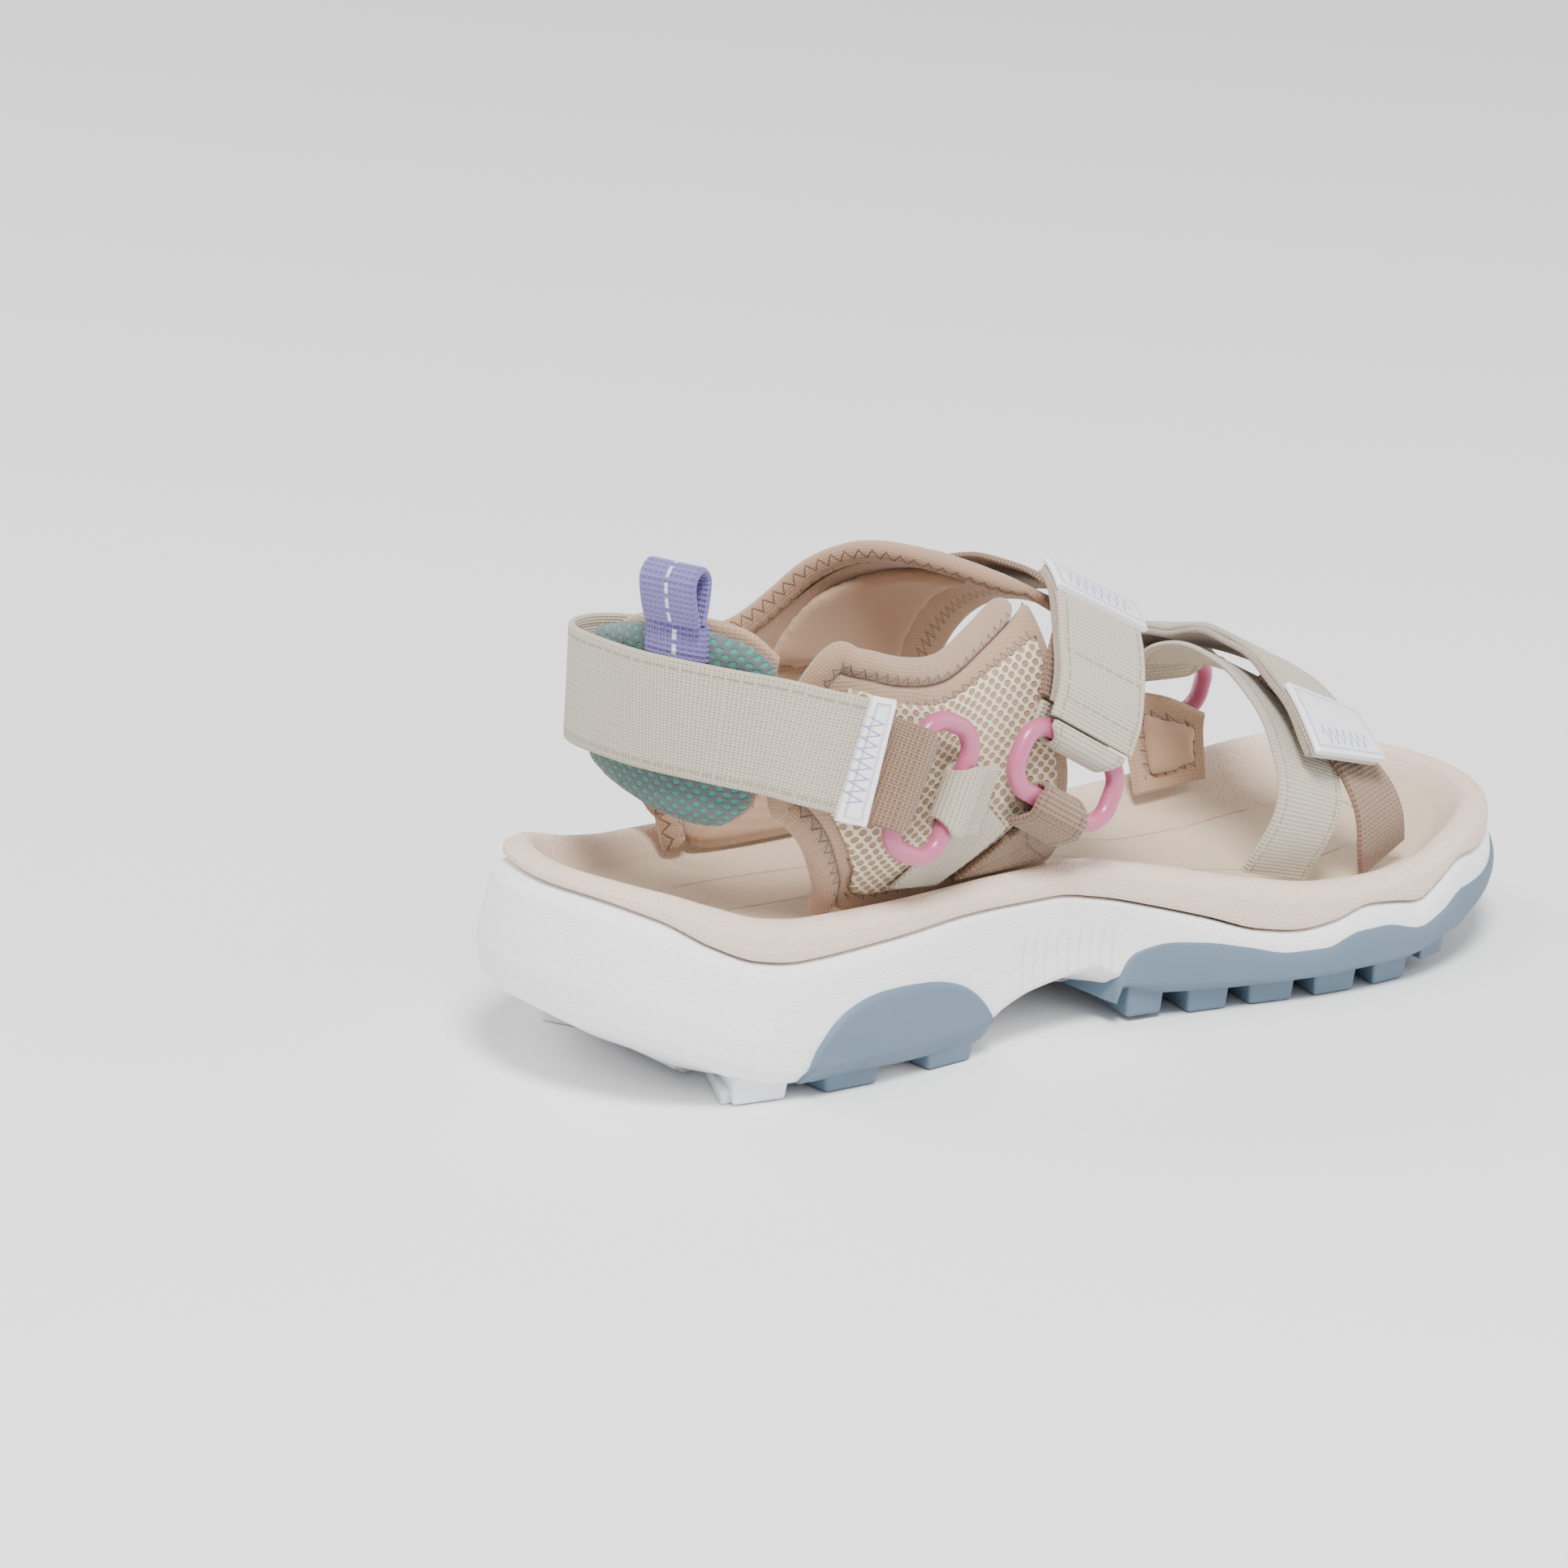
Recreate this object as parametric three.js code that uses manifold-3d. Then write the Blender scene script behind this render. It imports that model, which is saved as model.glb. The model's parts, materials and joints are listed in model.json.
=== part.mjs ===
// A strappy sport sandal for the right foot, as the separate pieces it is stitched and glued from.
// Millimetres. X runs from the heel to the toe, Y to the medial side (the big toe's), Z up.

import * as THREE from "three";
import { mergeVertices } from "three/addons/utils/BufferGeometryUtils.js";
import Module from "manifold-3d";

const wasm = await Module();
wasm.setup();

// ---------------------------------------------------------------- driving dimensions

const LENGTH = 253; // outline of the sole, without the flare round its heel
const RIM = 8; // width of the raised rim round the footbed
const FIT_GAP = 0.3; // air between two pieces that touch
const TREAD_DEPTH = 4; // height of a lug

const WEB = 1.4; // thickness of the strap webbing
const STRAP_WIDTH = 25;
const ANCHOR_WIDTH = 15; // webbing that holds a ring to the upper
const PULL_WIDTH = 13.5;
const SIDE_STRAP_WIDTH = 15;
const TOE_STRAP_WIDTH = 21;
const TAPE = 0.9; // thickness of hook tape and loop tape
const TAB = 1.5; // thickness of a strap's moulded end tab

const LINING = 2.2; // padded lining of the upper
const MESH = 0.8; // open mesh over the lining
const BINDING_RADIUS = 2; // rolled edge of the upper
const PAD_THICKNESS = 6.5; // cushion behind the heel
const HEEL_BACK = 28; // where the foot's heel starts, behind it stands the pad
const HEEL_FRONT = 60; // where the round of the heel turns into the straight sides

const RING_LENGTH = 32;
const RING_CORNER = 5.5; // radius of its middle line at the corners
const RING_WIDTH = 18;
const RING_BAR = 4;

const BAR_RADIUS = RING_BAR / 2;
const FOLD_RADIUS = BAR_RADIUS + FIT_GAP + WEB / 2; // of a strap's middle, round a ring's bar
const QUARTER = LINING + 2 * FIT_GAP + MESH; // thickness of a side of the upper
const RING_OFFSET = QUARTER + 2 * FIT_GAP + WEB / 2 + FOLD_RADIUS; // from the foot to a ring's middle

// ---------------------------------------------------------------- smooth functions

// A smooth function of one number through [at, value] knots, level beyond both ends.
function through(knots) {
  const slope = (i) => {
    if (i === 0 || i === knots.length - 1) return 0;
    const before = (knots[i][1] - knots[i - 1][1]) / (knots[i][0] - knots[i - 1][0]);
    const after = (knots[i + 1][1] - knots[i][1]) / (knots[i + 1][0] - knots[i][0]);
    return before * after <= 0 ? 0 : (2 * before * after) / (before + after);
  };
  return (at) => {
    if (at <= knots[0][0]) return knots[0][1];
    const i = knots.findIndex((knot) => knot[0] > at) - 1;
    if (i < 0) return knots[knots.length - 1][1];
    const span = knots[i + 1][0] - knots[i][0];
    const t = (at - knots[i][0]) / span;
    const rise = knots[i + 1][1] - knots[i][1];
    const ease = t * t * (3 - 2 * t);
    const bend = t * (1 - t) * ((1 - t) * slope(i) - t * slope(i + 1)) * span;
    return knots[i][1] + rise * ease + bend;
  };
}

const mix = THREE.MathUtils.lerp;
const radians = THREE.MathUtils.degToRad;

// ---------------------------------------------------------------- heights and widths of the sole

// Half the sole's width over the sine of the angle round it, so that both ends come out round.
const fullness = through([
  [0, 67], [22, 58.6], [45, 48.6], [65, 42.4], [95, 35.4], [125, 34.2],
  [155, 39.6], [182, 48.6], [206, 56.8], [232, 64], [253, 68],
]);
const soleMiddle = through([
  [0, -2.5], [40, -1.6], [95, -3.4], [155, -2.9], [206, -1.4], [235, 0.6], [253, 3],
]);
const crest = through([
  [0, 46.5], [10, 45], [20, 42], [32, 38.6], [45, 37.2], [80, 37.4], [115, 37.8], [130, 35],
  [145, 31.6], [162, 27.6], [180, 25], [192, 24.8], [206, 26.2], [220, 29], [236, 31], [253, 30.5],
]);
const recess = through([
  [0, 36], [14, 35], [30, 32.6], [80, 32], [110, 32], [130, 29.6], [150, 25.6],
  [170, 21.8], [190, 20.4], [210, 21.6], [230, 24.6], [253, 26],
]);
const footbedEdge = through([
  [0, 43.4], [10, 40.4], [20, 34.6], [30, 30.6], [40, 29.3], [60, 30.4], [85, 32], [108, 31.8],
  [120, 29.6], [135, 25.4], [149, 21.2], [162, 17], [172, 15.8], [180, 16.8], [189, 19.3],
  [197, 18.6], [204, 17.6], [211, 20.6], [219, 24], [229, 23.2], [240, 24.6], [253, 27],
]);
const outsoleEdge = through([
  [126.5, 6], [128.5, 13], [132, 16], [139, 17.3], [148, 16.4], [158, 14.2], [169, 11.8],
  [177, 11.8], [186, 14.4], [193, 14.6], [204, 12.3], [211, 14.2], [219, 17.6], [229, 17.6],
  [240, 19], [253, 22],
]);
const lowerEdge = through([
  [0, 15], [10, 12.6], [18, 9.6], [27, 5.6], [38, 3], [90, 3], [97, 6.5], [108, 10],
  [121, 11.5], [128, 8], [140, 5.5], [165, 4.4], [195, 4.6], [213, 7.5], [234, 13], [253, 19],
]);
const footbedThickness = through([[120, 6], [175, 3.5]]); // under the recessed top
const underside = through([
  [0, 8], [14, 4.6], [26, 3], [92, 3], [112, 7.5], [126, 6.2], [145, 4], [195, 4], [218, 8], [253, 17],
]);
const flare = through([
  [0, 5], [20, 4], [40, 2.6], [70, 1], [100, -1.5], [125, -1.5], [145, 0.6], [253, 1],
]);
const bevel = through([[0, 3], [30, 2.2], [80, 2], [105, 6], [122, 6], [140, 2.5], [253, 4]]);

// ---------------------------------------------------------------- closed meshes and solids

// A mesh from a list of points and triangles, turned so that its faces point out.
function closedGeometry(points, triangles) {
  const corner = (i) => points[i];
  const six = triangles.reduce(
    (sum, [a, b, c]) => sum + corner(a).dot(new THREE.Vector3().crossVectors(corner(b), corner(c))),
    0,
  );
  const faces = six < 0 ? triangles.map(([a, b, c]) => [a, c, b]) : triangles;
  const geometry = new THREE.BufferGeometry().setFromPoints(points);
  geometry.setIndex(faces.flat());
  return geometry;
}

// The slab between the faces at(s, t, 0) and at(s, t, 1), with s and t from 0 to 1.
function slab(at, along, across) {
  const points = [];
  const triangles = [];
  const index = (i, j, side) => (side * (along + 1) + i) * (across + 1) + j;
  const quad = (a, b, c, d) => triangles.push([a, b, c], [a, c, d]);
  for (const side of [0, 1])
    for (let i = 0; i <= along; i++)
      for (let j = 0; j <= across; j++) points.push(at(i / along, j / across, side));
  for (let i = 0; i < along; i++)
    for (let j = 0; j < across; j++) {
      quad(index(i, j, 1), index(i + 1, j, 1), index(i + 1, j + 1, 1), index(i, j + 1, 1));
      quad(index(i, j, 0), index(i, j + 1, 0), index(i + 1, j + 1, 0), index(i + 1, j, 0));
    }
  for (let i = 0; i < along; i++) {
    quad(index(i, 0, 0), index(i + 1, 0, 0), index(i + 1, 0, 1), index(i, 0, 1));
    quad(index(i + 1, across, 0), index(i, across, 0), index(i, across, 1), index(i + 1, across, 1));
  }
  for (let j = 0; j < across; j++) {
    quad(index(0, j + 1, 0), index(0, j, 0), index(0, j, 1), index(0, j + 1, 1));
    quad(index(along, j, 0), index(along, j + 1, 0), index(along, j + 1, 1), index(along, j, 1));
  }
  return closedGeometry(points, triangles);
}

function solid(geometry) {
  const bare = geometry.clone();
  bare.deleteAttribute("normal");
  bare.deleteAttribute("uv");
  const merged = mergeVertices(bare, 1e-4);
  return new wasm.Manifold(
    new wasm.Mesh({
      numProp: 3,
      vertProperties: new Float32Array(merged.attributes.position.array),
      triVerts: new Uint32Array(merged.index.array),
    }),
  );
}

function geometryOf(manifold) {
  const mesh = manifold.getMesh();
  const geometry = new THREE.BufferGeometry();
  geometry.setAttribute("position", new THREE.BufferAttribute(mesh.vertProperties, 3));
  geometry.setIndex(new THREE.BufferAttribute(mesh.triVerts, 1));
  return geometry;
}

// ---------------------------------------------------------------- sole

const SOLE_STATIONS = 64; // round the outline
const SPINE_START = 42; // the sole's cross sections fan out round both ends of this line
const SPINE_END = 208;
const CUT_REACH = 80; // past the sole's sides, top and bottom

// Where the outline is at one angle round the sole, and the point of the middle line it faces.
function soleStation(angle) {
  const x = (LENGTH / 2) * (1 - Math.cos(angle));
  const rim = new THREE.Vector2(x, soleMiddle(x) + fullness(x) * Math.sin(angle));
  const spineX = THREE.MathUtils.clamp(x, SPINE_START, SPINE_END);
  const spine = new THREE.Vector2(spineX, soleMiddle(spineX));
  return { x, rim, spine, inward: spine.clone().sub(rim).normalize() };
}

// A body whose section at each station runs from the top of the middle line to its bottom,
// by [inset from the outline, height] points.
function soleSolid(section) {
  const points = [];
  const triangles = [];
  let rows = 0;
  for (let i = 0; i < SOLE_STATIONS; i++) {
    const station = soleStation((2 * Math.PI * i) / SOLE_STATIONS);
    const profile = section(station.x, station.spine.x);
    rows = profile.length;
    profile.forEach(([inset, z], row) => {
      const ends = row === 0 || row === rows - 1;
      const plan = ends ? station.spine : station.rim.clone().addScaledVector(station.inward, inset);
      points.push(new THREE.Vector3(plan.x, plan.y, z));
    });
  }
  for (let i = 0; i < SOLE_STATIONS; i++) {
    const next = ((i + 1) % SOLE_STATIONS) * rows;
    for (let row = 0; row < rows - 1; row++) {
      const [a, b] = [i * rows + row, next + row];
      triangles.push([a, a + 1, b + 1], [a, b + 1, b]);
    }
  }
  return solid(closedGeometry(points, triangles));
}

// The whole sole in one, grown outwards by some millimetres at its side.
function soleBody(grow) {
  return soleSolid((x, spineX) => {
    const [top, edge, low] = [crest(x), footbedEdge(x), lowerEdge(x)];
    return [
      [0, recess(spineX)],
      [15, recess(x)],
      [RIM + 2, recess(x) + 0.4],
      [RIM - 0.4, mix(recess(x), top, 0.55)],
      [RIM - 1.8, top - 0.5],
      [4.2, top],
      [1.8, top - 0.8],
      [0.3 - grow, mix(top, edge, 0.35)],
      [-grow, mix(top, edge, 0.85)],
      [0.6 - grow, edge],
      [-0.4 * flare(x) - grow, edge - 2],
      [-flare(x) - grow, mix(edge, low, 0.6)],
      [-0.8 * flare(x) - grow, mix(edge, low, 0.85)],
      [bevel(x) - grow, low],
      [bevel(x) + 12, underside(x)],
      [0, underside(spineX)],
    ];
  });
}

// Everything above the recessed part of the footbed's own underside.
function footbedPlug(gap) {
  return soleSolid((x, spineX) => [
    [0, CUT_REACH],
    [RIM + 1 - gap, CUT_REACH],
    [RIM + 1 - gap, recess(x) - footbedThickness(x) - gap],
    [0, recess(spineX) - footbedThickness(spineX) - gap],
  ]);
}

// An outline drawn in X and Z, pushed straight through the sole from one y to another.
function across(outline, fromY, toY) {
  const shape = new THREE.Shape(outline.map(([x, z]) => new THREE.Vector2(x, z)));
  const geometry = new THREE.ExtrudeGeometry(shape, { depth: toY - fromY, bevelEnabled: false });
  return solid(geometry.rotateX(Math.PI / 2).translate(0, toY, 0));
}

function sampled(curve, from, to, steps) {
  return Array.from({ length: steps + 1 }, (_, i) => {
    const x = mix(from, to, i / steps);
    return [x, curve(x)];
  });
}

function aboveEdge(shift) {
  const edge = sampled(footbedEdge, 0, LENGTH, 40).map(([x, z]) => [x, z + shift]);
  const [first, last] = [edge[0][1], edge[edge.length - 1][1]];
  const outline = [
    [-20, first], ...edge, [LENGTH + 20, last], [LENGTH + 20, CUT_REACH], [-20, CUT_REACH],
  ];
  return across(outline, -CUT_REACH, CUT_REACH);
}

function belowOutsoleEdge(shift) {
  const [start, steep] = [126.5, 128.5];
  const edge = sampled(outsoleEdge, steep, LENGTH, 30).map(([x, z]) => [x - shift, z + shift]);
  const outline = [
    [start - shift, -5], [start - shift, outsoleEdge(start)], ...edge,
    [LENGTH + 20, edge[edge.length - 1][1]], [LENGTH + 20, -5],
  ];
  return across(outline, -CUT_REACH, CUT_REACH);
}

// The domed rubber patch at the side of the heel, seen from that side.
const PATCH_START = 41;
const PATCH_END = 94;
const PATCH_TOP = 21;

function patchOutline(grow) {
  const middle = (PATCH_START + PATCH_END) / 2 - 4;
  const dome = Array.from({ length: 13 }, (_, i) => {
    const angle = Math.PI - (Math.PI * i) / 12;
    const reach = (i < 6 ? middle - PATCH_START : PATCH_END - middle) + grow;
    const lift = (PATCH_TOP + grow) * Math.pow(Math.sin(angle), 0.8);
    return [middle + reach * Math.cos(angle), lift];
  });
  dome[0][1] = -5;
  dome[12][1] = -5;
  return dome;
}

function patchRegion(side, grow) {
  const inner = 25 - grow;
  const [from, to] = side < 0 ? [-CUT_REACH, -inner] : [inner - 5, CUT_REACH];
  return across(patchOutline(grow), from, to);
}

// A block of tread between two stations of the sole, from one inset to another.
function lug(side, fromX, toX, outer, inner, bottom, top, slant = 0) {
  const corner = (x, inset) => {
    const angle = Math.acos(1 - (2 * x) / LENGTH);
    const { rim, inward } = soleStation(side < 0 ? 2 * Math.PI - angle : angle);
    return rim.clone().addScaledVector(inward, inset);
  };
  const shape = new THREE.Shape([
    corner(fromX, outer), corner(toX, outer), corner(toX + slant, inner), corner(fromX + slant, inner),
  ]);
  const geometry = new THREE.ExtrudeGeometry(shape, { depth: top - bottom, bevelEnabled: false });
  return solid(geometry.translate(0, 0, bottom));
}

const body = soleBody(0);
const proud = soleBody(1); // the rubber pieces stand proud of the foam by this much

function footbed() {
  const region = aboveEdge(FIT_GAP / 2).add(footbedPlug(0));
  return geometryOf(body.intersect(region));
}

function midsole() {
  let foam = body.subtract(aboveEdge(-FIT_GAP / 2).add(footbedPlug(FIT_GAP)));
  foam = foam.subtract(belowOutsoleEdge(FIT_GAP));
  for (const side of [-1, 1]) foam = foam.subtract(patchRegion(side, FIT_GAP));
  return geometryOf(foam);
}

const FOREFOOT_LUGS = [
  [130, 140], [145, 156], [160, 172], [176, 188], [192, 203], [207, 217], [221, 230], [234, 242],
];

function forefootOutsole() {
  let rubber = proud.intersect(belowOutsoleEdge(0));
  for (const [from, to] of FOREFOOT_LUGS)
    for (const side of [-1, 1]) {
      const base = underside((from + to) / 2);
      rubber = rubber.add(lug(side, from, to, 1.5, 15, base - TREAD_DEPTH, base + 2, 3));
    }
  for (const x of [140, 158, 176, 194])
    rubber = rubber.add(lug(-1, x, x + 9, 22, 34, underside(x) - TREAD_DEPTH, underside(x) + 2, 4));
  return geometryOf(rubber);
}

function heelPatch(side) {
  let rubber = proud.intersect(patchRegion(side, 0));
  for (const [from, to] of [[47, 62], [74, 88]])
    rubber = rubber.add(lug(side, from, to, 0.5, 9, 0, 5));
  return geometryOf(rubber);
}

function heelTread() {
  const [base, top] = [1.6, underside(60) - FIT_GAP];
  let rubber = solid(
    new THREE.ExtrudeGeometry(
      new THREE.Shape().moveTo(28, -14).lineTo(96, -14).lineTo(96, 12).lineTo(28, 12),
      { depth: top - base, bevelEnabled: false },
    ).translate(0, 0, base),
  );
  for (const side of [-1, 1]) rubber = rubber.add(lug(side, 24, 37, 4, 26, 0, top));
  for (const x of [30, 45, 60, 75]) {
    const bar = new THREE.BoxGeometry(10, 24, base + 0.5).translate(x + 6, -1, (base + 0.5) / 2);
    rubber = rubber.add(solid(bar));
  }
  return geometryOf(rubber);
}

// ---------------------------------------------------------------- the foot that the upper wraps

// The exponent of its cross section: squarer than an ellipse round the ankle, near one at the toes.
const footRound = through([[120, 2 / 2.8], [170, 2 / 2.2]]);
const HEEL_ROUND = 2 / 2.3; // the same of its heel, seen from above
const footMiddle = through([[HEEL_BACK, 0], [60, -2.2], [110, -3.6], [160, -3], [215, -1]]);
const footSide = through([
  [HEEL_FRONT, 31.5], [85, 30.6], [110, 29.6], [140, 33], [170, 38], [200, 38.6], [225, 35],
]);
const footRise = through([
  [50, 150], [66, 97], [80, 73.5], [95, 64.5], [110, 60.5], [125, 55], [145, 49.5], [165, 45.5],
  [175, 43], [185, 39], [195, 34], [205, 29.5], [215, 26],
]);
const footLean = through([[140, 0], [175, 8], [215, 8]]); // its top, over the big toe, leans to that side
const footPinch = through([[0, 8.5], [26, 0]]); // narrower where the upper goes down inside the rim

function footHalf(x) {
  if (x >= HEEL_FRONT) return footSide(x);
  const back = Math.min(1, (HEEL_FRONT - x) / (HEEL_FRONT - HEEL_BACK));
  return footSide(HEEL_FRONT) * Math.pow(1 - Math.pow(back, 2 / HEEL_ROUND), HEEL_ROUND / 2);
}

// A point of the foot at x, with u from -1 at the lateral side, over 0 on top, to 1 at the medial side.
function overFoot(x, u) {
  const angle = (Math.abs(u) * Math.PI) / 2;
  const share = Math.pow(Math.max(0, Math.cos(angle)), footRound(x));
  const height = footRise(x) * share;
  const half = footHalf(x) - footPinch(height);
  const middle = footMiddle(x) + footLean(x) * share * share;
  const y = middle + Math.sign(u) * half * Math.pow(Math.sin(angle), footRound(x));
  return new THREE.Vector3(x, y, recess(x) + height);
}

// The u at which the foot's side has a height z.
function uAt(x, z) {
  const share = THREE.MathUtils.clamp((z - recess(x)) / footRise(x), 0, 1);
  return (Math.acos(Math.pow(share, 1 / footRound(x))) * 2) / Math.PI;
}

const lateral = (x, z) => overFoot(x, -uAt(x, z));
const medial = (x, z) => overFoot(x, uAt(x, z));

// The foot's side from the lateral side (turn < 0) round the heel to the medial side (turn > 0).
// One unit of turn is a radian round the heel, and the same length along the sides.
function roundHeel(turn, z) {
  const angle = Math.min(Math.abs(turn), Math.PI / 2);
  const depth = HEEL_FRONT - HEEL_BACK;
  const beyond = (Math.abs(turn) - angle) * 36;
  const x = HEEL_FRONT - depth * Math.pow(Math.cos(angle), HEEL_ROUND) + beyond;
  return overFoot(x, (turn < 0 ? -1 : 1) * uAt(x, z));
}

// A point at a distance from the foot, and the direction away from the foot there.
function off(surface, a, b, distance) {
  const step = 1e-3;
  const point = surface(a, b);
  const alongA = surface(a + step, b).sub(surface(a - step, b));
  const alongB = surface(a, b + step).sub(surface(a, b - step));
  const normal = alongA.cross(alongB).normalize();
  const inside = new THREE.Vector3(
    Math.max(point.x, HEEL_FRONT),
    footMiddle(point.x),
    Math.min(point.z, 55),
  );
  if (normal.dot(point.clone().sub(inside)) < 0) normal.negate();
  return { point: point.addScaledVector(normal, distance), normal };
}

// ---------------------------------------------------------------- panels, straps, folds and rings

const rail = (list) => new THREE.SplineCurve(list.map(([a, b]) => new THREE.Vector2(a, b)));

// A panel of the upper between two rails, each a list of [a, b] places on the surface. A trim leaves
// out whole grid steps at its rear, front, low and high edges.
function panel(surface, lowRail, highRail, inner, outer, [along, acrossSteps], trim = [0, 0, 0, 0]) {
  const [low, high] = [rail(lowRail), rail(highRail)];
  const [rear, front, under, over] = trim;
  return slab(
    (s, t, side) => {
      const run = mix(rear, along - front, s) / along;
      const rise = mix(under, acrossSteps - over, t) / acrossSteps;
      const place = low.getPoint(run).lerp(high.getPoint(run), rise);
      return off(surface, place.x, place.y, side ? outer : inner).point;
    },
    along - rear - front,
    acrossSteps - under - over,
  );
}

// The edge of a panel from a share of its low rail, back round its rear end and along its high rail.
function edgeOf(lowRail, highRail, lowShare, highShare) {
  const [low, high] = [rail(lowRail), rail(highRail)];
  const steps = 9;
  const shares = Array.from({ length: steps + 1 }, (_, i) => i / steps);
  return [
    ...shares.map((share) => low.getPoint(lowShare * (1 - share))),
    ...shares.map((share) => high.getPoint(highShare * share)),
  ].map((place) => [place.x, place.y]);
}

// Stations of a strap laid over the foot through [a, b, distance] places, or of a part of its run:
// its middle and its width's direction.
function laid(surface, places, steps, from = 0, to = 1) {
  const path = new THREE.CatmullRomCurve3(places.map(([a, b, d]) => new THREE.Vector3(a, b, d)));
  const on = (t) => {
    const place = path.getPoint(THREE.MathUtils.clamp(t, 0, 1));
    return off(surface, place.x, place.y, place.z);
  };
  return Array.from({ length: steps + 1 }, (_, i) => {
    const t = mix(from, to, i / steps);
    const { point, normal } = on(t);
    const ahead = on(t + 0.01).point.sub(on(t - 0.01).point);
    return { point, width: normal.cross(ahead).normalize() };
  });
}

// The stations of a run whose width turns into a bar's direction over the last share of the run.
function turning(run, direction, share) {
  return run.map(({ point, width }, i) => {
    const turn = THREE.MathUtils.smoothstep(i / (run.length - 1), 1 - share, 1);
    const aligned = direction.clone().multiplyScalar(width.dot(direction) < 0 ? -1 : 1);
    return { point, width: width.clone().lerp(aligned, turn).normalize() };
  });
}

// A flat strap through stations. Its thickness stands square to its run and its width.
function strap(stations, width, thickness = WEB, acrossSteps = 1) {
  const last = stations.length - 1;
  const facing = stations.map(({ width: w }, i) => {
    const run = stations[Math.min(i + 1, last)].point.clone().sub(stations[Math.max(i - 1, 0)].point);
    return run.cross(w).normalize();
  });
  return slab(
    (s, t, side) => {
      const i = Math.round(s * last);
      const { point, width: w, share = 1 } = stations[i];
      return point
        .clone()
        .addScaledVector(w, (t - 0.5) * width * share)
        .addScaledVector(facing[i], (side - 0.5) * thickness);
    },
    last,
    acrossSteps,
  );
}

// The frame of a ring lying on a side of the foot: its long way (along, raised at the front by a tilt),
// its short way (across, always upwards) and the way out.
function ringFrame(surface, x, z, tilt) {
  const { point, normal } = off(surface, x, z, RING_OFFSET);
  const level = new THREE.Vector3(1, 0, 0).projectOnPlane(normal).normalize();
  const along = level.applyAxisAngle(normal, radians(tilt) * -Math.sign(normal.y));
  const upward = new THREE.Vector3().crossVectors(normal, along);
  if (upward.z < 0) upward.negate();
  return { centre: point, out: normal, along, across: upward };
}

function ring({ centre, along, across: wide }) {
  const long = RING_LENGTH / 2 - BAR_RADIUS - RING_CORNER;
  const short = RING_WIDTH / 2 - BAR_RADIUS - RING_CORNER;
  const [around, sides] = [24, 8];
  const out = new THREE.Vector3().crossVectors(along, wide);
  const points = [];
  const triangles = [];
  for (let i = 0; i < around; i++) {
    const angle = (2 * Math.PI * (i + 0.5)) / around;
    const spoke = along.clone().multiplyScalar(Math.cos(angle)).addScaledVector(wide, Math.sin(angle));
    const middle = centre
      .clone()
      .addScaledVector(along, Math.sign(Math.cos(angle)) * long)
      .addScaledVector(wide, Math.sign(Math.sin(angle)) * short)
      .addScaledVector(spoke, RING_CORNER);
    for (let j = 0; j < sides; j++) {
      const turn = (2 * Math.PI * j) / sides;
      points.push(
        middle
          .clone()
          .addScaledVector(spoke, BAR_RADIUS * Math.cos(turn))
          .addScaledVector(out, BAR_RADIUS * Math.sin(turn)),
      );
      const [a, b] = [i * sides, ((i + 1) % around) * sides];
      const k = (j + 1) % sides;
      triangles.push([a + j, b + j, b + k], [a + j, b + k, a + k]);
    }
  }
  return closedGeometry(points, triangles);
}

// A ring's bar on one side of its short way: +1 or -1.
function barOf(frame, side) {
  return frame.centre.clone().addScaledVector(frame.across, side * (RING_WIDTH / 2 - BAR_RADIUS));
}

const FOLD_GATHER = 0.3; // share of a strap's width lost where it is gathered in a ring

// Stations of the fold round a bar, from the outside of the ring through its hole to the inside,
// with straight leads of some millimetres before and after it.
function fold(frame, side, leadOut, leadIn) {
  const middle = barOf(frame, side);
  const width = new THREE.Vector3().crossVectors(frame.across, frame.out).multiplyScalar(side);
  const place = (outwards, away) => ({
    point: middle.clone().addScaledVector(frame.out, outwards).addScaledVector(frame.across, side * away),
    width,
  });
  const steps = 6;
  const arc = Array.from({ length: steps + 1 }, (_, i) => {
    const angle = (Math.PI * i) / steps;
    const station = place(FOLD_RADIUS * Math.cos(angle), -FOLD_RADIUS * Math.sin(angle));
    return { ...station, share: 1 - FOLD_GATHER * Math.sin(angle) };
  });
  return [place(FOLD_RADIUS, leadOut), ...arc, place(-FOLD_RADIUS, leadIn)];
}

// A point beside a ring's bar, some millimetres away from the ring's middle, out of its plane and aside
// along the bar.
function besideBar(frame, side, away, out, aside = 0) {
  return barOf(frame, side)
    .addScaledVector(frame.across, side * away)
    .addScaledVector(frame.out, out)
    .addScaledVector(frame.along, aside);
}

// The [a, b, distance] place of a point near a surface, found by Newton's steps from a guess.
function placeOf(surface, aim, [guessA, guessB]) {
  const step = 1e-2;
  const place = new THREE.Vector3(guessA, guessB, 0);
  for (let i = 0; i < 12; i++) {
    const { point, normal } = off(surface, place.x, place.y, place.z);
    const alongA = off(surface, place.x + step, place.y, place.z).point.sub(point).divideScalar(step);
    const alongB = off(surface, place.x, place.y + step, place.z).point.sub(point).divideScalar(step);
    const axes = new THREE.Matrix4().makeBasis(alongA, alongB, normal).invert();
    place.add(aim.clone().sub(point).applyMatrix4(axes));
  }
  return place.toArray();
}

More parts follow.
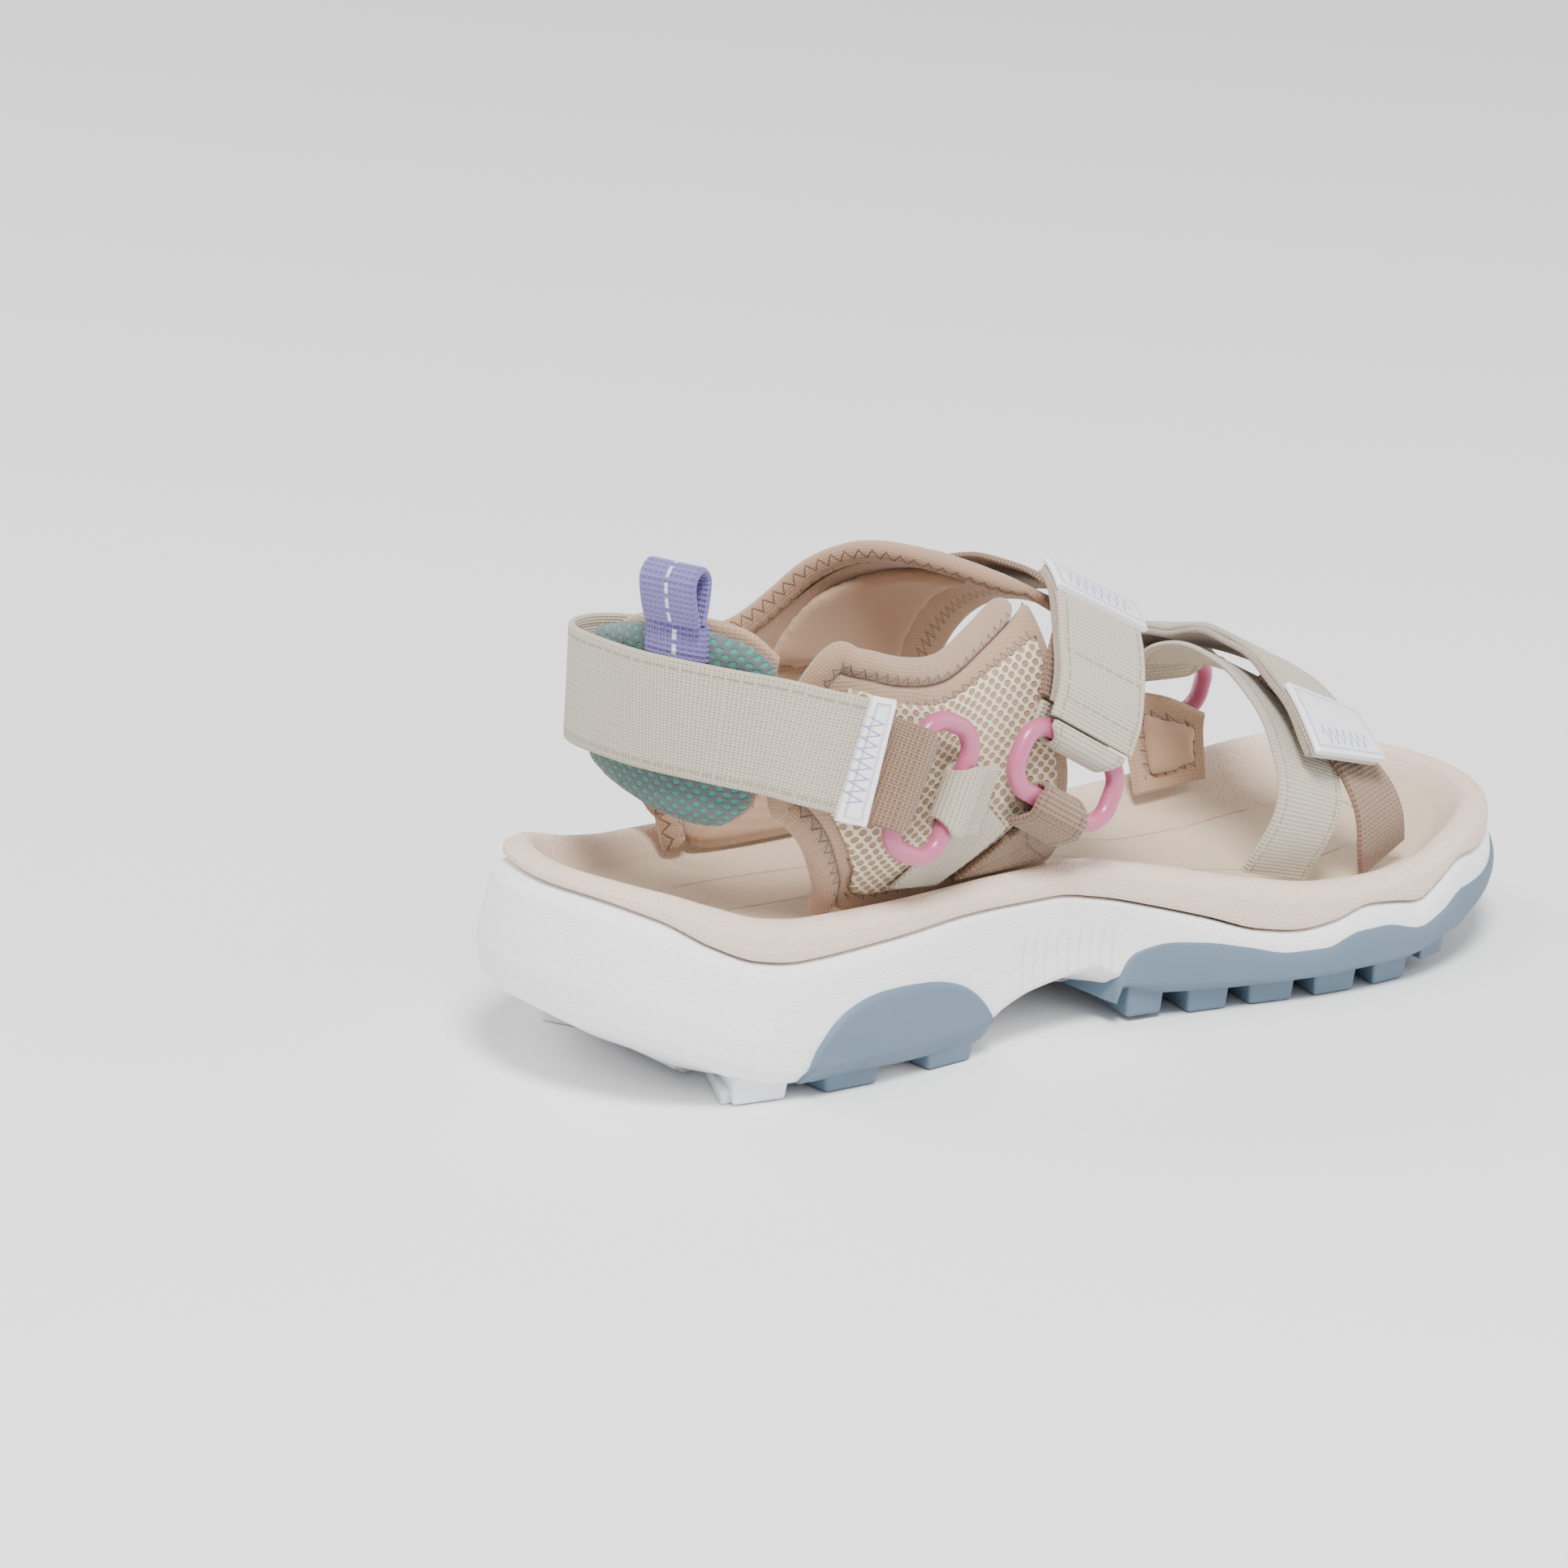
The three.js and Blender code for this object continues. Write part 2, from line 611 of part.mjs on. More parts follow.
// A tube with a round section along points, closed at both ends.
function cord(points, radius, steps) {
  const section = new THREE.Shape();
  const sides = 8;
  for (let i = 0; i < sides; i++) {
    const angle = (2 * Math.PI * i) / sides;
    const corner = [radius * Math.cos(angle), radius * Math.sin(angle)];
    if (i === 0) section.moveTo(...corner);
    else section.lineTo(...corner);
  }
  const path = new THREE.CatmullRomCurve3(points);
  return new THREE.ExtrudeGeometry(section, { extrudePath: path, steps, bevelEnabled: false });
}

// The rolled edge along an edge of a panel, beside it and standing a little proud of both faces.
function binding(surface, edge, sideways, steps) {
  const middle = laid(surface, edge.map(([a, b]) => [a, b, LINING / 2 + FIT_GAP]), 24);
  const aside = sideways * (BINDING_RADIUS + 8 * FIT_GAP);
  return cord(
    middle.map(({ point, width }) => point.addScaledVector(width, aside)),
    BINDING_RADIUS,
    steps,
  );
}

// ---------------------------------------------------------------- the upper's pieces

const OUTER_LAYER = RING_OFFSET + FOLD_RADIUS; // middle of a strap on top of a ring's bar
const INNER_LAYER = RING_OFFSET - FOLD_RADIUS; // middle of a strap under it
const ON_QUARTER = QUARTER + 2 * FIT_GAP + WEB / 2; // webbing sewn to the side of the upper
const ON_WEBBING = ON_QUARTER + WEB + FIT_GAP; // webbing on top of that

const quarterGrid = [20, 7];
const meshTrim = [3, 1, 1, 1];
const quarterLow = [[43, 62], [49, 55], [56, 43], [60, 34.2], [86, 34.2], [114, 34]];
const quarterHigh = [[49, 88], [57, 85.5], [66, 82.5], [79, 81], [93, 85], [110, 89.5]];
const onTop = (side) => ([x, z, ...distance]) => [x, side * uAt(x, z), ...distance];

function lateralLining() {
  return panel(lateral, quarterLow, quarterHigh, 0, LINING, quarterGrid);
}

function lateralMesh() {
  return panel(lateral, quarterLow, quarterHigh, LINING + 2 * FIT_GAP, QUARTER, quarterGrid, meshTrim);
}

function lateralBinding() {
  return binding(lateral, edgeOf(quarterLow, quarterHigh, 0.55, 0.94), 1, 40);
}

const insideGrid = [24, 10];
const insideLow = [[43, 62], [49, 55], [56, 43], [60, 34.2], [90, 34.2], [121, 33.6]].map(onTop(1));
const insideHigh = [
  ...[[49, 76], [61, 75.5], [73, 75.5]].map(onTop(1)),
  [84, 0.53], [101, 0.06], [137, -0.34],
];

function medialLining() {
  return panel(overFoot, insideLow, insideHigh, 0, LINING, insideGrid);
}

function medialMesh() {
  return panel(overFoot, insideLow, insideHigh, LINING + 2 * FIT_GAP, QUARTER, insideGrid, [3, 2, 1, 6]);
}

function medialBinding() {
  return binding(overFoot, edgeOf(insideLow, insideHigh, 0.55, 0.88), -1, 44);
}

function instepPad() {
  const low = [[78, 0.75], [92, 0.72], [112, 0.7]];
  const high = [[86, 0.5], [100, 0.22], [118, 0.12]];
  return panel(overFoot, low, high, -2.6, -3 * FIT_GAP, [8, 4]);
}

// The webbing strip that runs slantwise from the footbed up to the ankle ring.
function slantStrip(surface) {
  const low = [[80, 39.5], [88, 45.5], [94, 50.5]];
  const high = [[67, 41], [76, 50], [85, 57.5]];
  return panel(surface, low, high, ON_QUARTER - WEB / 2, ON_QUARTER + WEB / 2, [6, 3]);
}

// The patch sewn on under the ankle ring, with a boxed cross of stitches.
function anchorPatch(surface) {
  const low = [[84, 39.5], [110, 40]];
  const high = [[101, 52.5], [114, 50]];
  return panel(surface, low, high, ON_QUARTER - WEB / 2, ON_QUARTER + WEB / 2, [4, 3]);
}

// Webbing folded round the lower bar of a ring, with its outer end sewn down to the upper.
function anchor(surface, frame, reach, aside) {
  const near = besideBar(frame, -1, reach, 0, aside);
  const [x, z] = placeOf(surface, near, [frame.centre.x, frame.centre.z]);
  const path = new THREE.CatmullRomCurve3([
    off(surface, x, z, ON_WEBBING).point,
    besideBar(frame, -1, reach / 2, 1, aside / 2),
    besideBar(frame, -1, 2.5, FOLD_RADIUS - 0.1),
  ]);
  const turn = fold(frame, -1, 1, 2.5);
  const run = path.getPoints(5).map((point) => ({ point, width: turn[0].width }));
  return strap([...run, ...turn], ANCHOR_WIDTH);
}

// ---------------------------------------------------------------- heel

const HEEL_TOP = 78; // middle of the heel strap, behind the heel
const PAD_FACE = PAD_THICKNESS - 1; // from the foot to the pad's outer face
const STRAP_ON_PAD = PAD_FACE + 3 * FIT_GAP + WEB * 1.5; // over the sewn end of the pull loop

const heelRings = {
  lateral: ringFrame(lateral, 69, 62, 65),
  medial: ringFrame(medial, 69, 62, 65),
};

function turnAt(x, side) {
  if (x >= HEEL_FRONT) return side * (Math.PI / 2 + (x - HEEL_FRONT) / 36);
  const depth = HEEL_FRONT - HEEL_BACK;
  return side * Math.acos(Math.pow((HEEL_FRONT - x) / depth, 1 / HEEL_ROUND));
}

const padLow = [[-0.82, 58.5], [-0.65, 54], [-0.4, 53.5], [0, 55.5], [0.48, 60]];
const padHigh = [[-0.97, 90], [-0.75, 95], [-0.42, 96.5], [-0.02, 95], [0.48, 89]];

function heelPad() {
  return panel(roundHeel, padLow, padHigh, -1 + FIT_GAP, PAD_FACE, [18, 6]);
}

function heelPadLining() {
  return panel(roundHeel, padLow, padHigh, -2.5, -1, [18, 3]);
}

const HEEL_TAB_X = 54.5; // where the loose end of the heel strap stops
const HEEL_LOOSE = 0.3; // share of the strap's run that peels off at that end

// The heel strap's run, or of a layer on it, from its loose end round the heel to the medial ring.
function heelRun(lower) {
  const atRing = besideBar(heelRings.medial, 1, 2.5, FOLD_RADIUS - 0.1);
  const [turn, z, distance] = placeOf(roundHeel, atRing, [turnAt(62, 1), 68]);
  return [
    [turnAt(HEEL_TAB_X, -1), 71, STRAP_ON_PAD + 2.2 - lower],
    [turnAt(46, -1), 74.2, STRAP_ON_PAD + 1.4 - lower],
    [-0.8, 77, STRAP_ON_PAD - lower],
    [-0.4, HEEL_TOP, STRAP_ON_PAD - lower],
    [0, HEEL_TOP - 0.5, STRAP_ON_PAD - lower],
    [0.4, 76, STRAP_ON_PAD - lower],
    [0.8, 73.6, STRAP_ON_PAD - lower],
    [turnAt(50, 1), 69.8, mix(STRAP_ON_PAD, OUTER_LAYER, 0.6) - lower],
    [turn, z, distance - lower],
  ];
}

function heelStrap() {
  const run = laid(roundHeel, heelRun(0), 26, HEEL_LOOSE + 0.003, 1);
  const end = turning(run, heelRings.medial.along, 0.3);
  return strap([...end, ...fold(heelRings.medial, 1, 1, 9)], STRAP_WIDTH - 0.5, WEB, 2);
}

function heelFlap() {
  return strap(laid(roundHeel, heelRun(0), 12, 0, HEEL_LOOSE), STRAP_WIDTH - 0.5, WEB, 2);
}

function heelFlapHook() {
  const stations = laid(roundHeel, heelRun(WEB / 2 + FIT_GAP / 2 + TAPE / 2), 6, 0.05, 0.14);
  return strap(stations, STRAP_WIDTH - 3, TAPE, 2);
}

function heelTab() {
  const stations = laid(roundHeel, heelRun(-WEB / 2 - FIT_GAP - TAB / 2), 4, -0.002, 0.06);
  return strap(stations, STRAP_WIDTH + 1.5, TAB, 2);
}

// The webbing under the loose end, folded round the lateral ring and closed by the hook tape.
function heelTail() {
  const frame = heelRings.lateral;
  const start = [frame.centre.x, frame.centre.z];
  const near = (away, out) => placeOf(lateral, besideBar(frame, 1, away, out), start);
  const run = laid(
    lateral,
    [
      [46, 74.5, ON_WEBBING],
      [52, 71.5, ON_WEBBING],
      near(7, 0.3),
      near(2.5, FOLD_RADIUS - 0.2),
    ],
    8,
  );
  return strap([...turning(run, frame.along, 0.6), ...fold(frame, 1, 1, 10)], STRAP_WIDTH - 3, WEB, 2);
}

const PULL_HINGE_Z = 97.5; // where the pull loop leaves the pad
const PULL_TOP = 109;
const PULL_TURN = -0.35; // the loop stands a little to the lateral side of the heel's back

function pullLoop() {
  const [near, far] = [PAD_FACE + FIT_GAP + WEB / 2, PAD_FACE + 2 * FIT_GAP + WEB * 1.5];
  const places = [
    [far, PULL_HINGE_Z],
    [far + 1.4, PULL_HINGE_Z + 4],
    [far + 1.8, PULL_TOP - 2],
    [mix(near, far, 0.5), PULL_TOP],
    [near - 1.6, PULL_TOP - 2],
    [near - 1.2, PULL_HINGE_Z + 4],
    [near, PULL_HINGE_Z],
  ];
  const { point, normal } = off(roundHeel, PULL_TURN, 90, 0);
  const outward = normal.setZ(0).normalize();
  const width = new THREE.Vector3(0, 0, 1).cross(outward);
  const curve = new THREE.CatmullRomCurve3(
    places.map(([d, z]) => point.clone().addScaledVector(outward, d).setZ(z)),
  );
  return strap(curve.getPoints(18).map((place) => ({ point: place, width })), PULL_WIDTH, WEB);
}

function pullLoopBase() {
  const half = 0.205;
  const [low, high] = [74, PULL_HINGE_Z - 3].map((z) => [[PULL_TURN - half, z], [PULL_TURN + half, z]]);
  return panel(roundHeel, low, high, PAD_FACE + FIT_GAP, PAD_FACE + FIT_GAP + WEB, [5, 3]);
}

// ---------------------------------------------------------------- ankle

const ankleRings = {
  lateral: ringFrame(lateral, 106, 58.5, -30),
  medial: ringFrame(medial, 106, 60, -24),
};
const UNDER_STRAP = INNER_LAYER + 0.3;
const ANKLE_FLAP_OFFSET = UNDER_STRAP + WEB + TAPE + 3 * FIT_GAP; // over the hook tape

const ankleFold = fold(ankleRings.lateral, 1, 1.5, 5);
const nearLateral = (away, out) => {
  const aim = besideBar(ankleRings.lateral, 1, away, out);
  return placeOf(overFoot, aim, [110, -0.7]);
};

function ankleUnderStrap() {
  const run = laid(
    overFoot,
    [
      nearLateral(6, -FOLD_RADIUS),
      [...nearLateral(12, -FOLD_RADIUS).slice(0, 2), INNER_LAYER],
      [121, -0.42, UNDER_STRAP],
      [127, -0.2, UNDER_STRAP],
      [128, 0.05, UNDER_STRAP],
      [125, 0.32, UNDER_STRAP + 0.6],
      [118, 0.54, UNDER_STRAP + 3],
      placeOf(overFoot, besideBar(ankleRings.medial, 1, 3, FOLD_RADIUS - 0.1), [108, 0.7]),
    ],
    24,
  );
  const start = turning(run.reverse(), ankleRings.lateral.along, 0.3);
  const end = turning(start.reverse(), ankleRings.medial.along, 0.3);
  return strap([...end, ...fold(ankleRings.medial, 1, 1.2, 9)], STRAP_WIDTH - 1, WEB, 2);
}

// The ankle flap's run, or of a layer under it, from its loose end to the lateral ring.
function ankleRun(lower) {
  const places = [
    [123, -0.2, ANKLE_FLAP_OFFSET],
    [121, -0.34, ANKLE_FLAP_OFFSET],
    [118, -0.5, ANKLE_FLAP_OFFSET],
    nearLateral(9, FOLD_RADIUS - 0.8),
    nearLateral(2.1, FOLD_RADIUS),
  ].map(([x, u, distance]) => [x, u, distance - lower]);
  return turning(laid(overFoot, places, 14), ankleRings.lateral.along, 0.6);
}

function ankleFlap() {
  return strap(ankleRun(0), STRAP_WIDTH, WEB, 2);
}

function ankleFlapHook() {
  return strap(ankleRun(WEB / 2 + FIT_GAP / 2 + TAPE / 2).slice(2, 8), STRAP_WIDTH - 3, TAPE, 2);
}

function ankleTab() {
  return strap(ankleRun(-WEB / 2 - FIT_GAP - TAB / 2).slice(0, 4), STRAP_WIDTH + 1.5, TAB, 2);
}

// ---------------------------------------------------------------- toe

const TOE_BASE = 3.6; // from the recessed top up to the ends of the straps
const toeRing = ringFrame(medial, 199, 41, 0);
const nearToeRing = (away, out) => placeOf(overFoot, besideBar(toeRing, 1, away, out), [200, 0.5]);
const TOE_STRAP = 2.2; // from the foot to the middle of the toe strap
const toeTopLayer = TOE_STRAP + 2 * WEB + TAPE + 7 * FIT_GAP;

function toePanel() {
  const low = [[188, 23.5], [198, 23.6], [208, 24.4]];
  const high = [[188, 46], [199, 43], [209, 38.5]];
  return panel(medial, low, high, 0, LINING, [8, 6]);
}

function toePanelPad() {
  const low = [[191, 27], [198, 27], [205, 28]];
  const high = [[191, 42], [198, 39.5], [206, 36.5]];
  return panel(medial, low, high, -2.4, -2 * FIT_GAP, [6, 3]);
}

function toeStrap() {
  const places = [
    [173, -uAt(173, recess(173) + TOE_BASE), TOE_STRAP - 2],
    [177, -0.76, TOE_STRAP],
    [183, -0.42, TOE_STRAP],
    [187, -0.1, TOE_STRAP],
    [192, 0.2, TOE_STRAP + 0.6],
    [...nearToeRing(11, -FOLD_RADIUS).slice(0, 2), INNER_LAYER],
    nearToeRing(6, -FOLD_RADIUS),
  ];
  return strap(turning(laid(overFoot, places, 24), toeRing.along, 0.3), TOE_STRAP_WIDTH - 1, WEB, 2);
}

function toeSideStrap() {
  const over = TOE_STRAP + WEB + FIT_GAP;
  const places = [
    [203, -uAt(203, recess(203) + TOE_BASE), TOE_STRAP],
    [199, -0.76, over],
    [194, -0.5, over],
    [190, -0.2, over],
  ];
  return strap(laid(overFoot, places, 12), SIDE_STRAP_WIDTH, WEB, 2);
}

const toeFold = fold(toeRing, 1, 1.5, 5);

// The toe flap's run, or of a layer under it, from its loose end to the ring.
function toeRun(lower) {
  const places = [
    [186, -0.6, toeTopLayer],
    [187.5, -0.36, toeTopLayer],
    [190.5, -0.08, toeTopLayer],
    [195, 0.18, toeTopLayer],
    nearToeRing(8, FOLD_RADIUS - 0.8),
    nearToeRing(2.1, FOLD_RADIUS),
  ].map(([x, u, distance]) => [x, u, distance - lower]);
  return turning(laid(overFoot, places, 18), toeRing.along, 0.5);
}

function toeFlap() {
  return strap(toeRun(0), TOE_STRAP_WIDTH + 1, WEB, 2);
}

function toeFlapHook() {
  return strap(toeRun(WEB / 2 + FIT_GAP / 2 + TAPE / 2).slice(2, 10), TOE_STRAP_WIDTH - 2, TAPE, 2);
}

function toeTab() {
  return strap(toeRun(-WEB / 2 - FIT_GAP - TAB / 2).slice(0, 4), TOE_STRAP_WIDTH + 2.5, TAB, 2);
}

// ---------------------------------------------------------------- assembly

const finish = (color, roughness) => ({ color, roughness });
const FINISH = {
  foam: finish(0xf3e3da, 0.8),
  midsole: finish(0xf7f8fa, 0.6),
  rubber: finish(0x8e9ba4, 0.7),
  lining: finish(0xc9ad98, 0.9),
  mesh: finish(0xf0e2cb, 0.9),
  cream: finish(0xe4e0d6, 0.85),
  tan: finish(0xc2a893, 0.85),
  ring: finish(0xd093a8, 0.3),
  pad: finish(0x6f8f8c, 0.9),
  lilac: finish(0xa79ccb, 0.8),
  tab: finish(0xf4f4fa, 0.35),
  tape: finish(0xb99c86, 1),
};

const sandal = new THREE.Group();

function add(name, look, geometry) {
  const material = new THREE.MeshStandardMaterial({ ...FINISH[look], metalness: 0 });
  const mesh = new THREE.Mesh(geometry, material);
  mesh.name = name;
  sandal.add(mesh);
}

add("footbed", "foam", footbed());
add("midsole", "midsole", midsole());
add("forefoot_outsole", "rubber", forefootOutsole());
add("heel_patch_lateral", "rubber", heelPatch(-1));
add("heel_patch_medial", "rubber", heelPatch(1));
add("heel_tread", "midsole", heelTread());

add("quarter_lining_lateral", "lining", lateralLining());
add("quarter_mesh_lateral", "mesh", lateralMesh());
add("quarter_binding_lateral", "lining", lateralBinding());
add("quarter_lining_medial", "lining", medialLining());
add("quarter_mesh_medial", "mesh", medialMesh());
add("quarter_binding_medial", "lining", medialBinding());
add("instep_pad", "lining", instepPad());

for (const [side, surface] of Object.entries({ lateral, medial })) {
  add("slant_strip_" + side, "cream", slantStrip(surface));
  add("anchor_patch_" + side, "tan", anchorPatch(surface));
  add("heel_ring_" + side, "ring", ring(heelRings[side]));
  add("heel_anchor_" + side, "cream", anchor(surface, heelRings[side], 10, 2));
  add("ankle_ring_" + side, "ring", ring(ankleRings[side]));
  add("ankle_anchor_" + side, "tan", anchor(surface, ankleRings[side], 8, 2));
}

add("heel_pad", "pad", heelPad());
add("heel_pad_lining", "lining", heelPadLining());
add("heel_strap", "cream", heelStrap());
add("heel_strap_flap", "cream", heelFlap());
add("heel_flap_hook_tape", "tape", heelFlapHook());
add("heel_flap_tab", "tab", heelTab());
add("heel_strap_tail", "tan", heelTail());
add("pull_loop", "lilac", pullLoop());
add("pull_loop_end", "lilac", pullLoopBase());

add("ankle_strap", "tan", ankleUnderStrap());
add("ankle_strap_fold", "cream", strap(ankleFold, STRAP_WIDTH - 3));
add("ankle_strap_flap", "cream", ankleFlap());
add("ankle_flap_hook_tape", "tape", ankleFlapHook());
add("ankle_flap_tab", "tab", ankleTab());

add("toe_panel", "lining", toePanel());
add("toe_panel_pad", "lining", toePanelPad());
add("toe_ring", "ring", ring(toeRing));
add("toe_anchor", "tan", anchor(medial, toeRing, 7, 3));
add("toe_strap", "cream", toeStrap());
add("toe_side_strap", "tan", toeSideStrap());
add("toe_strap_fold", "cream", strap(toeFold, TOE_STRAP_WIDTH - 1));
add("toe_strap_flap", "cream", toeFlap());
add("toe_flap_hook_tape", "tape", toeFlapHook());
add("toe_flap_tab", "tab", toeTab());

// The origin is under the middle of the whole sandal, on the ground.
const extent = new THREE.Box3().setFromObject(sandal);
const middle = extent.getCenter(new THREE.Vector3());
for (const mesh of sandal.children) mesh.position.set(-middle.x, -middle.y, -extent.min.z);

export default sandal;
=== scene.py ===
import json
import math

import bmesh
import bpy
import numpy as np
from mathutils import Matrix, Vector


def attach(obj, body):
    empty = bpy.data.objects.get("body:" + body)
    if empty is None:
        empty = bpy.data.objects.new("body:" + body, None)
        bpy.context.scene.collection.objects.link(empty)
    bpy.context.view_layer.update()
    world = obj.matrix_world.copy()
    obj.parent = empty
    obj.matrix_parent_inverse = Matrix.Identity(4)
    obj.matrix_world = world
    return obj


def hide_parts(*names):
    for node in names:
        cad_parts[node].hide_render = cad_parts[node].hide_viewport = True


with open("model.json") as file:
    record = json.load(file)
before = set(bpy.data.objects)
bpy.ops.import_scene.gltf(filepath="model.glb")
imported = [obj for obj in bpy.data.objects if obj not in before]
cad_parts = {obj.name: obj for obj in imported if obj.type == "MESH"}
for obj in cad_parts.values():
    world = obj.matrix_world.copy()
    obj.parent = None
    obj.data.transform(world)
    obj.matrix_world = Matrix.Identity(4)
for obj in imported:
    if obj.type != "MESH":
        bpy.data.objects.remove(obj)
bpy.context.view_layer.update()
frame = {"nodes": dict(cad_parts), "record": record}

SHIFT = Vector((-124.98605, 0.83551, 0))  # from the design frame to the row frame, in millimetres
MM = 0.001
record = frame["record"]
BODY = {node: body for body, nodes in record["behaviour"]["bodies"].items() for node in nodes}

# ---------------------------------------------------------------- the part's driving dimensions

LENGTH, RIM, GAP, TREAD = 253, 8, 0.3, 4
WEB, TAPE, TAB = 1.4, 0.9, 1.5
STRAP, ANCHOR, PULL, SIDE, TOE = 25, 15, 13.5, 15, 21
LINING, MESH, BINDING, PAD = 2.2, 0.8, 2, 6.5
HEEL_BACK, HEEL_FRONT = 28, 60
RING_LENGTH, RING_CORNER, RING_WIDTH, BAR = 32, 5.5, 18, 2
FOLD = BAR + GAP + WEB / 2
QUARTER = LINING + 2 * GAP + MESH
RING_OFFSET = QUARTER + 2 * GAP + WEB / 2 + FOLD


def clamp(x, low=0.0, high=1.0):
    return min(high, max(low, x))


def mix(a, b, t):
    return a + (b - a) * t


def smooth(x, low, high):
    t = clamp((x - low) / (high - low))
    return t * t * (3 - 2 * t)


def through(knots):
    """A smooth function through [at, value] knots, level beyond both ends."""
    last = len(knots) - 1
    slopes = [0.0] * len(knots)
    for i in range(1, last):
        before = (knots[i][1] - knots[i - 1][1]) / (knots[i][0] - knots[i - 1][0])
        after = (knots[i + 1][1] - knots[i][1]) / (knots[i + 1][0] - knots[i][0])
        slopes[i] = 0 if before * after <= 0 else 2 * before * after / (before + after)

    def at(x):
        if x <= knots[0][0]:
            return knots[0][1]
        if x >= knots[last][0]:
            return knots[last][1]
        i = next(k for k in range(last) if knots[k + 1][0] > x)
        span = knots[i + 1][0] - knots[i][0]
        t = (x - knots[i][0]) / span
        bend = t * (1 - t) * ((1 - t) * slopes[i] - t * slopes[i + 1]) * span
        return knots[i][1] + (knots[i + 1][1] - knots[i][1]) * t * t * (3 - 2 * t) + bend

    return at


fullness = through([
    [0, 67], [22, 58.6], [45, 48.6], [65, 42.4], [95, 35.4], [125, 34.2],
    [155, 39.6], [182, 48.6], [206, 56.8], [232, 64], [253, 68],
])
sole_middle = through([[0, -2.5], [40, -1.6], [95, -3.4], [155, -2.9], [206, -1.4], [235, 0.6], [253, 3]])
crest = through([
    [0, 46.5], [10, 45], [20, 42], [32, 38.6], [45, 37.2], [80, 37.4], [115, 37.8], [130, 35],
    [145, 31.6], [162, 27.6], [180, 25], [192, 24.8], [206, 26.2], [220, 29], [236, 31], [253, 30.5],
])
recess = through([
    [0, 36], [14, 35], [30, 32.6], [80, 32], [110, 32], [130, 29.6], [150, 25.6],
    [170, 21.8], [190, 20.4], [210, 21.6], [230, 24.6], [253, 26],
])
footbed_thickness = through([[120, 6], [175, 3.5]])
footbed_edge = through([
    [0, 43.4], [10, 40.4], [20, 34.6], [30, 30.6], [40, 29.3], [60, 30.4], [85, 32], [108, 31.8],
    [120, 29.6], [135, 25.4], [149, 21.2], [162, 17], [172, 15.8], [180, 16.8], [189, 19.3],
    [197, 18.6], [204, 17.6], [211, 20.6], [219, 24], [229, 23.2], [240, 24.6], [253, 27],
])
outsole_edge = through([
    [126.5, 6], [128.5, 13], [132, 16], [139, 17.3], [148, 16.4], [158, 14.2], [169, 11.8],
    [177, 11.8], [186, 14.4], [193, 14.6], [204, 12.3], [211, 14.2], [219, 17.6], [229, 17.6],
    [240, 19], [253, 22],
])
lower_edge = through([
    [0, 15], [10, 12.6], [18, 9.6], [27, 5.6], [38, 3], [90, 3], [97, 6.5], [108, 10],
    [121, 11.5], [128, 8], [140, 5.5], [165, 4.4], [195, 4.6], [213, 7.5], [234, 13], [253, 19],
])
underside = through([
    [0, 8], [14, 4.6], [26, 3], [92, 3], [112, 7.5], [126, 6.2], [145, 4], [195, 4], [218, 8], [253, 17],
])
flare = through([[0, 5], [20, 4], [40, 2.6], [70, 1], [100, -1.5], [125, -1.5], [145, 0.6], [253, 1]])
bevel = through([[0, 3], [30, 2.2], [80, 2], [105, 6], [122, 6], [140, 2.5], [253, 4]])

# ---------------------------------------------------------------- curves


def hermite(a, b, slope_a, slope_b, t):
    return (
        a
        + slope_a * t
        + (3 * (b - a) - 2 * slope_a - slope_b) * t * t
        + (2 * (a - b) + slope_a + slope_b) * t * t * t
    )


def even_curve(points):
    """A uniform Catmull-Rom curve through 2-D places."""
    points = [Vector(p) for p in points]
    last = len(points) - 1

    def at(t):
        i = min(int(t * last), last - 1)
        p0, p1, p2, p3 = (points[clamp(k, 0, last)] for k in (i - 1, i, i + 1, i + 2))
        return hermite(p1, p2, (p2 - p0) * 0.5, (p3 - p1) * 0.5, t * last - i)

    return at


def curve(points):
    """A centripetal Catmull-Rom curve through 3-D points."""
    points = [Vector(p) for p in points]
    points = [points[0] * 2 - points[1], *points, points[-1] * 2 - points[-2]]
    last = len(points) - 3

    def at(t):
        i = min(int(t * last), last - 1)
        p0, p1, p2, p3 = points[i : i + 4]
        d0, d1, d2 = (max(1e-4, (b - a).length ** 0.5) for a, b in ((p0, p1), (p1, p2), (p2, p3)))
        slope_1 = ((p1 - p0) / d0 - (p2 - p0) / (d0 + d1) + (p2 - p1) / d1) * d1
        slope_2 = ((p2 - p1) / d1 - (p3 - p1) / (d1 + d2) + (p3 - p2) / d2) * d1
        return hermite(p1, p2, slope_1, slope_2, t * last - i)

    return at


# ---------------------------------------------------------------- the foot that the upper wraps

foot_round = through([[120, 2 / 2.8], [170, 2 / 2.2]])
HEEL_ROUND = 2 / 2.3
foot_middle = through([[HEEL_BACK, 0], [60, -2.2], [110, -3.6], [160, -3], [215, -1]])
foot_side = through([
    [HEEL_FRONT, 31.5], [85, 30.6], [110, 29.6], [140, 33], [170, 38], [200, 38.6], [225, 35],
])
foot_rise = through([
    [50, 150], [66, 97], [80, 73.5], [95, 64.5], [110, 60.5], [125, 55], [145, 49.5], [165, 45.5],
    [175, 43], [185, 39], [195, 34], [205, 29.5], [215, 26],
])
foot_lean = through([[140, 0], [175, 8], [215, 8]])
foot_pinch = through([[0, 8.5], [26, 0]])


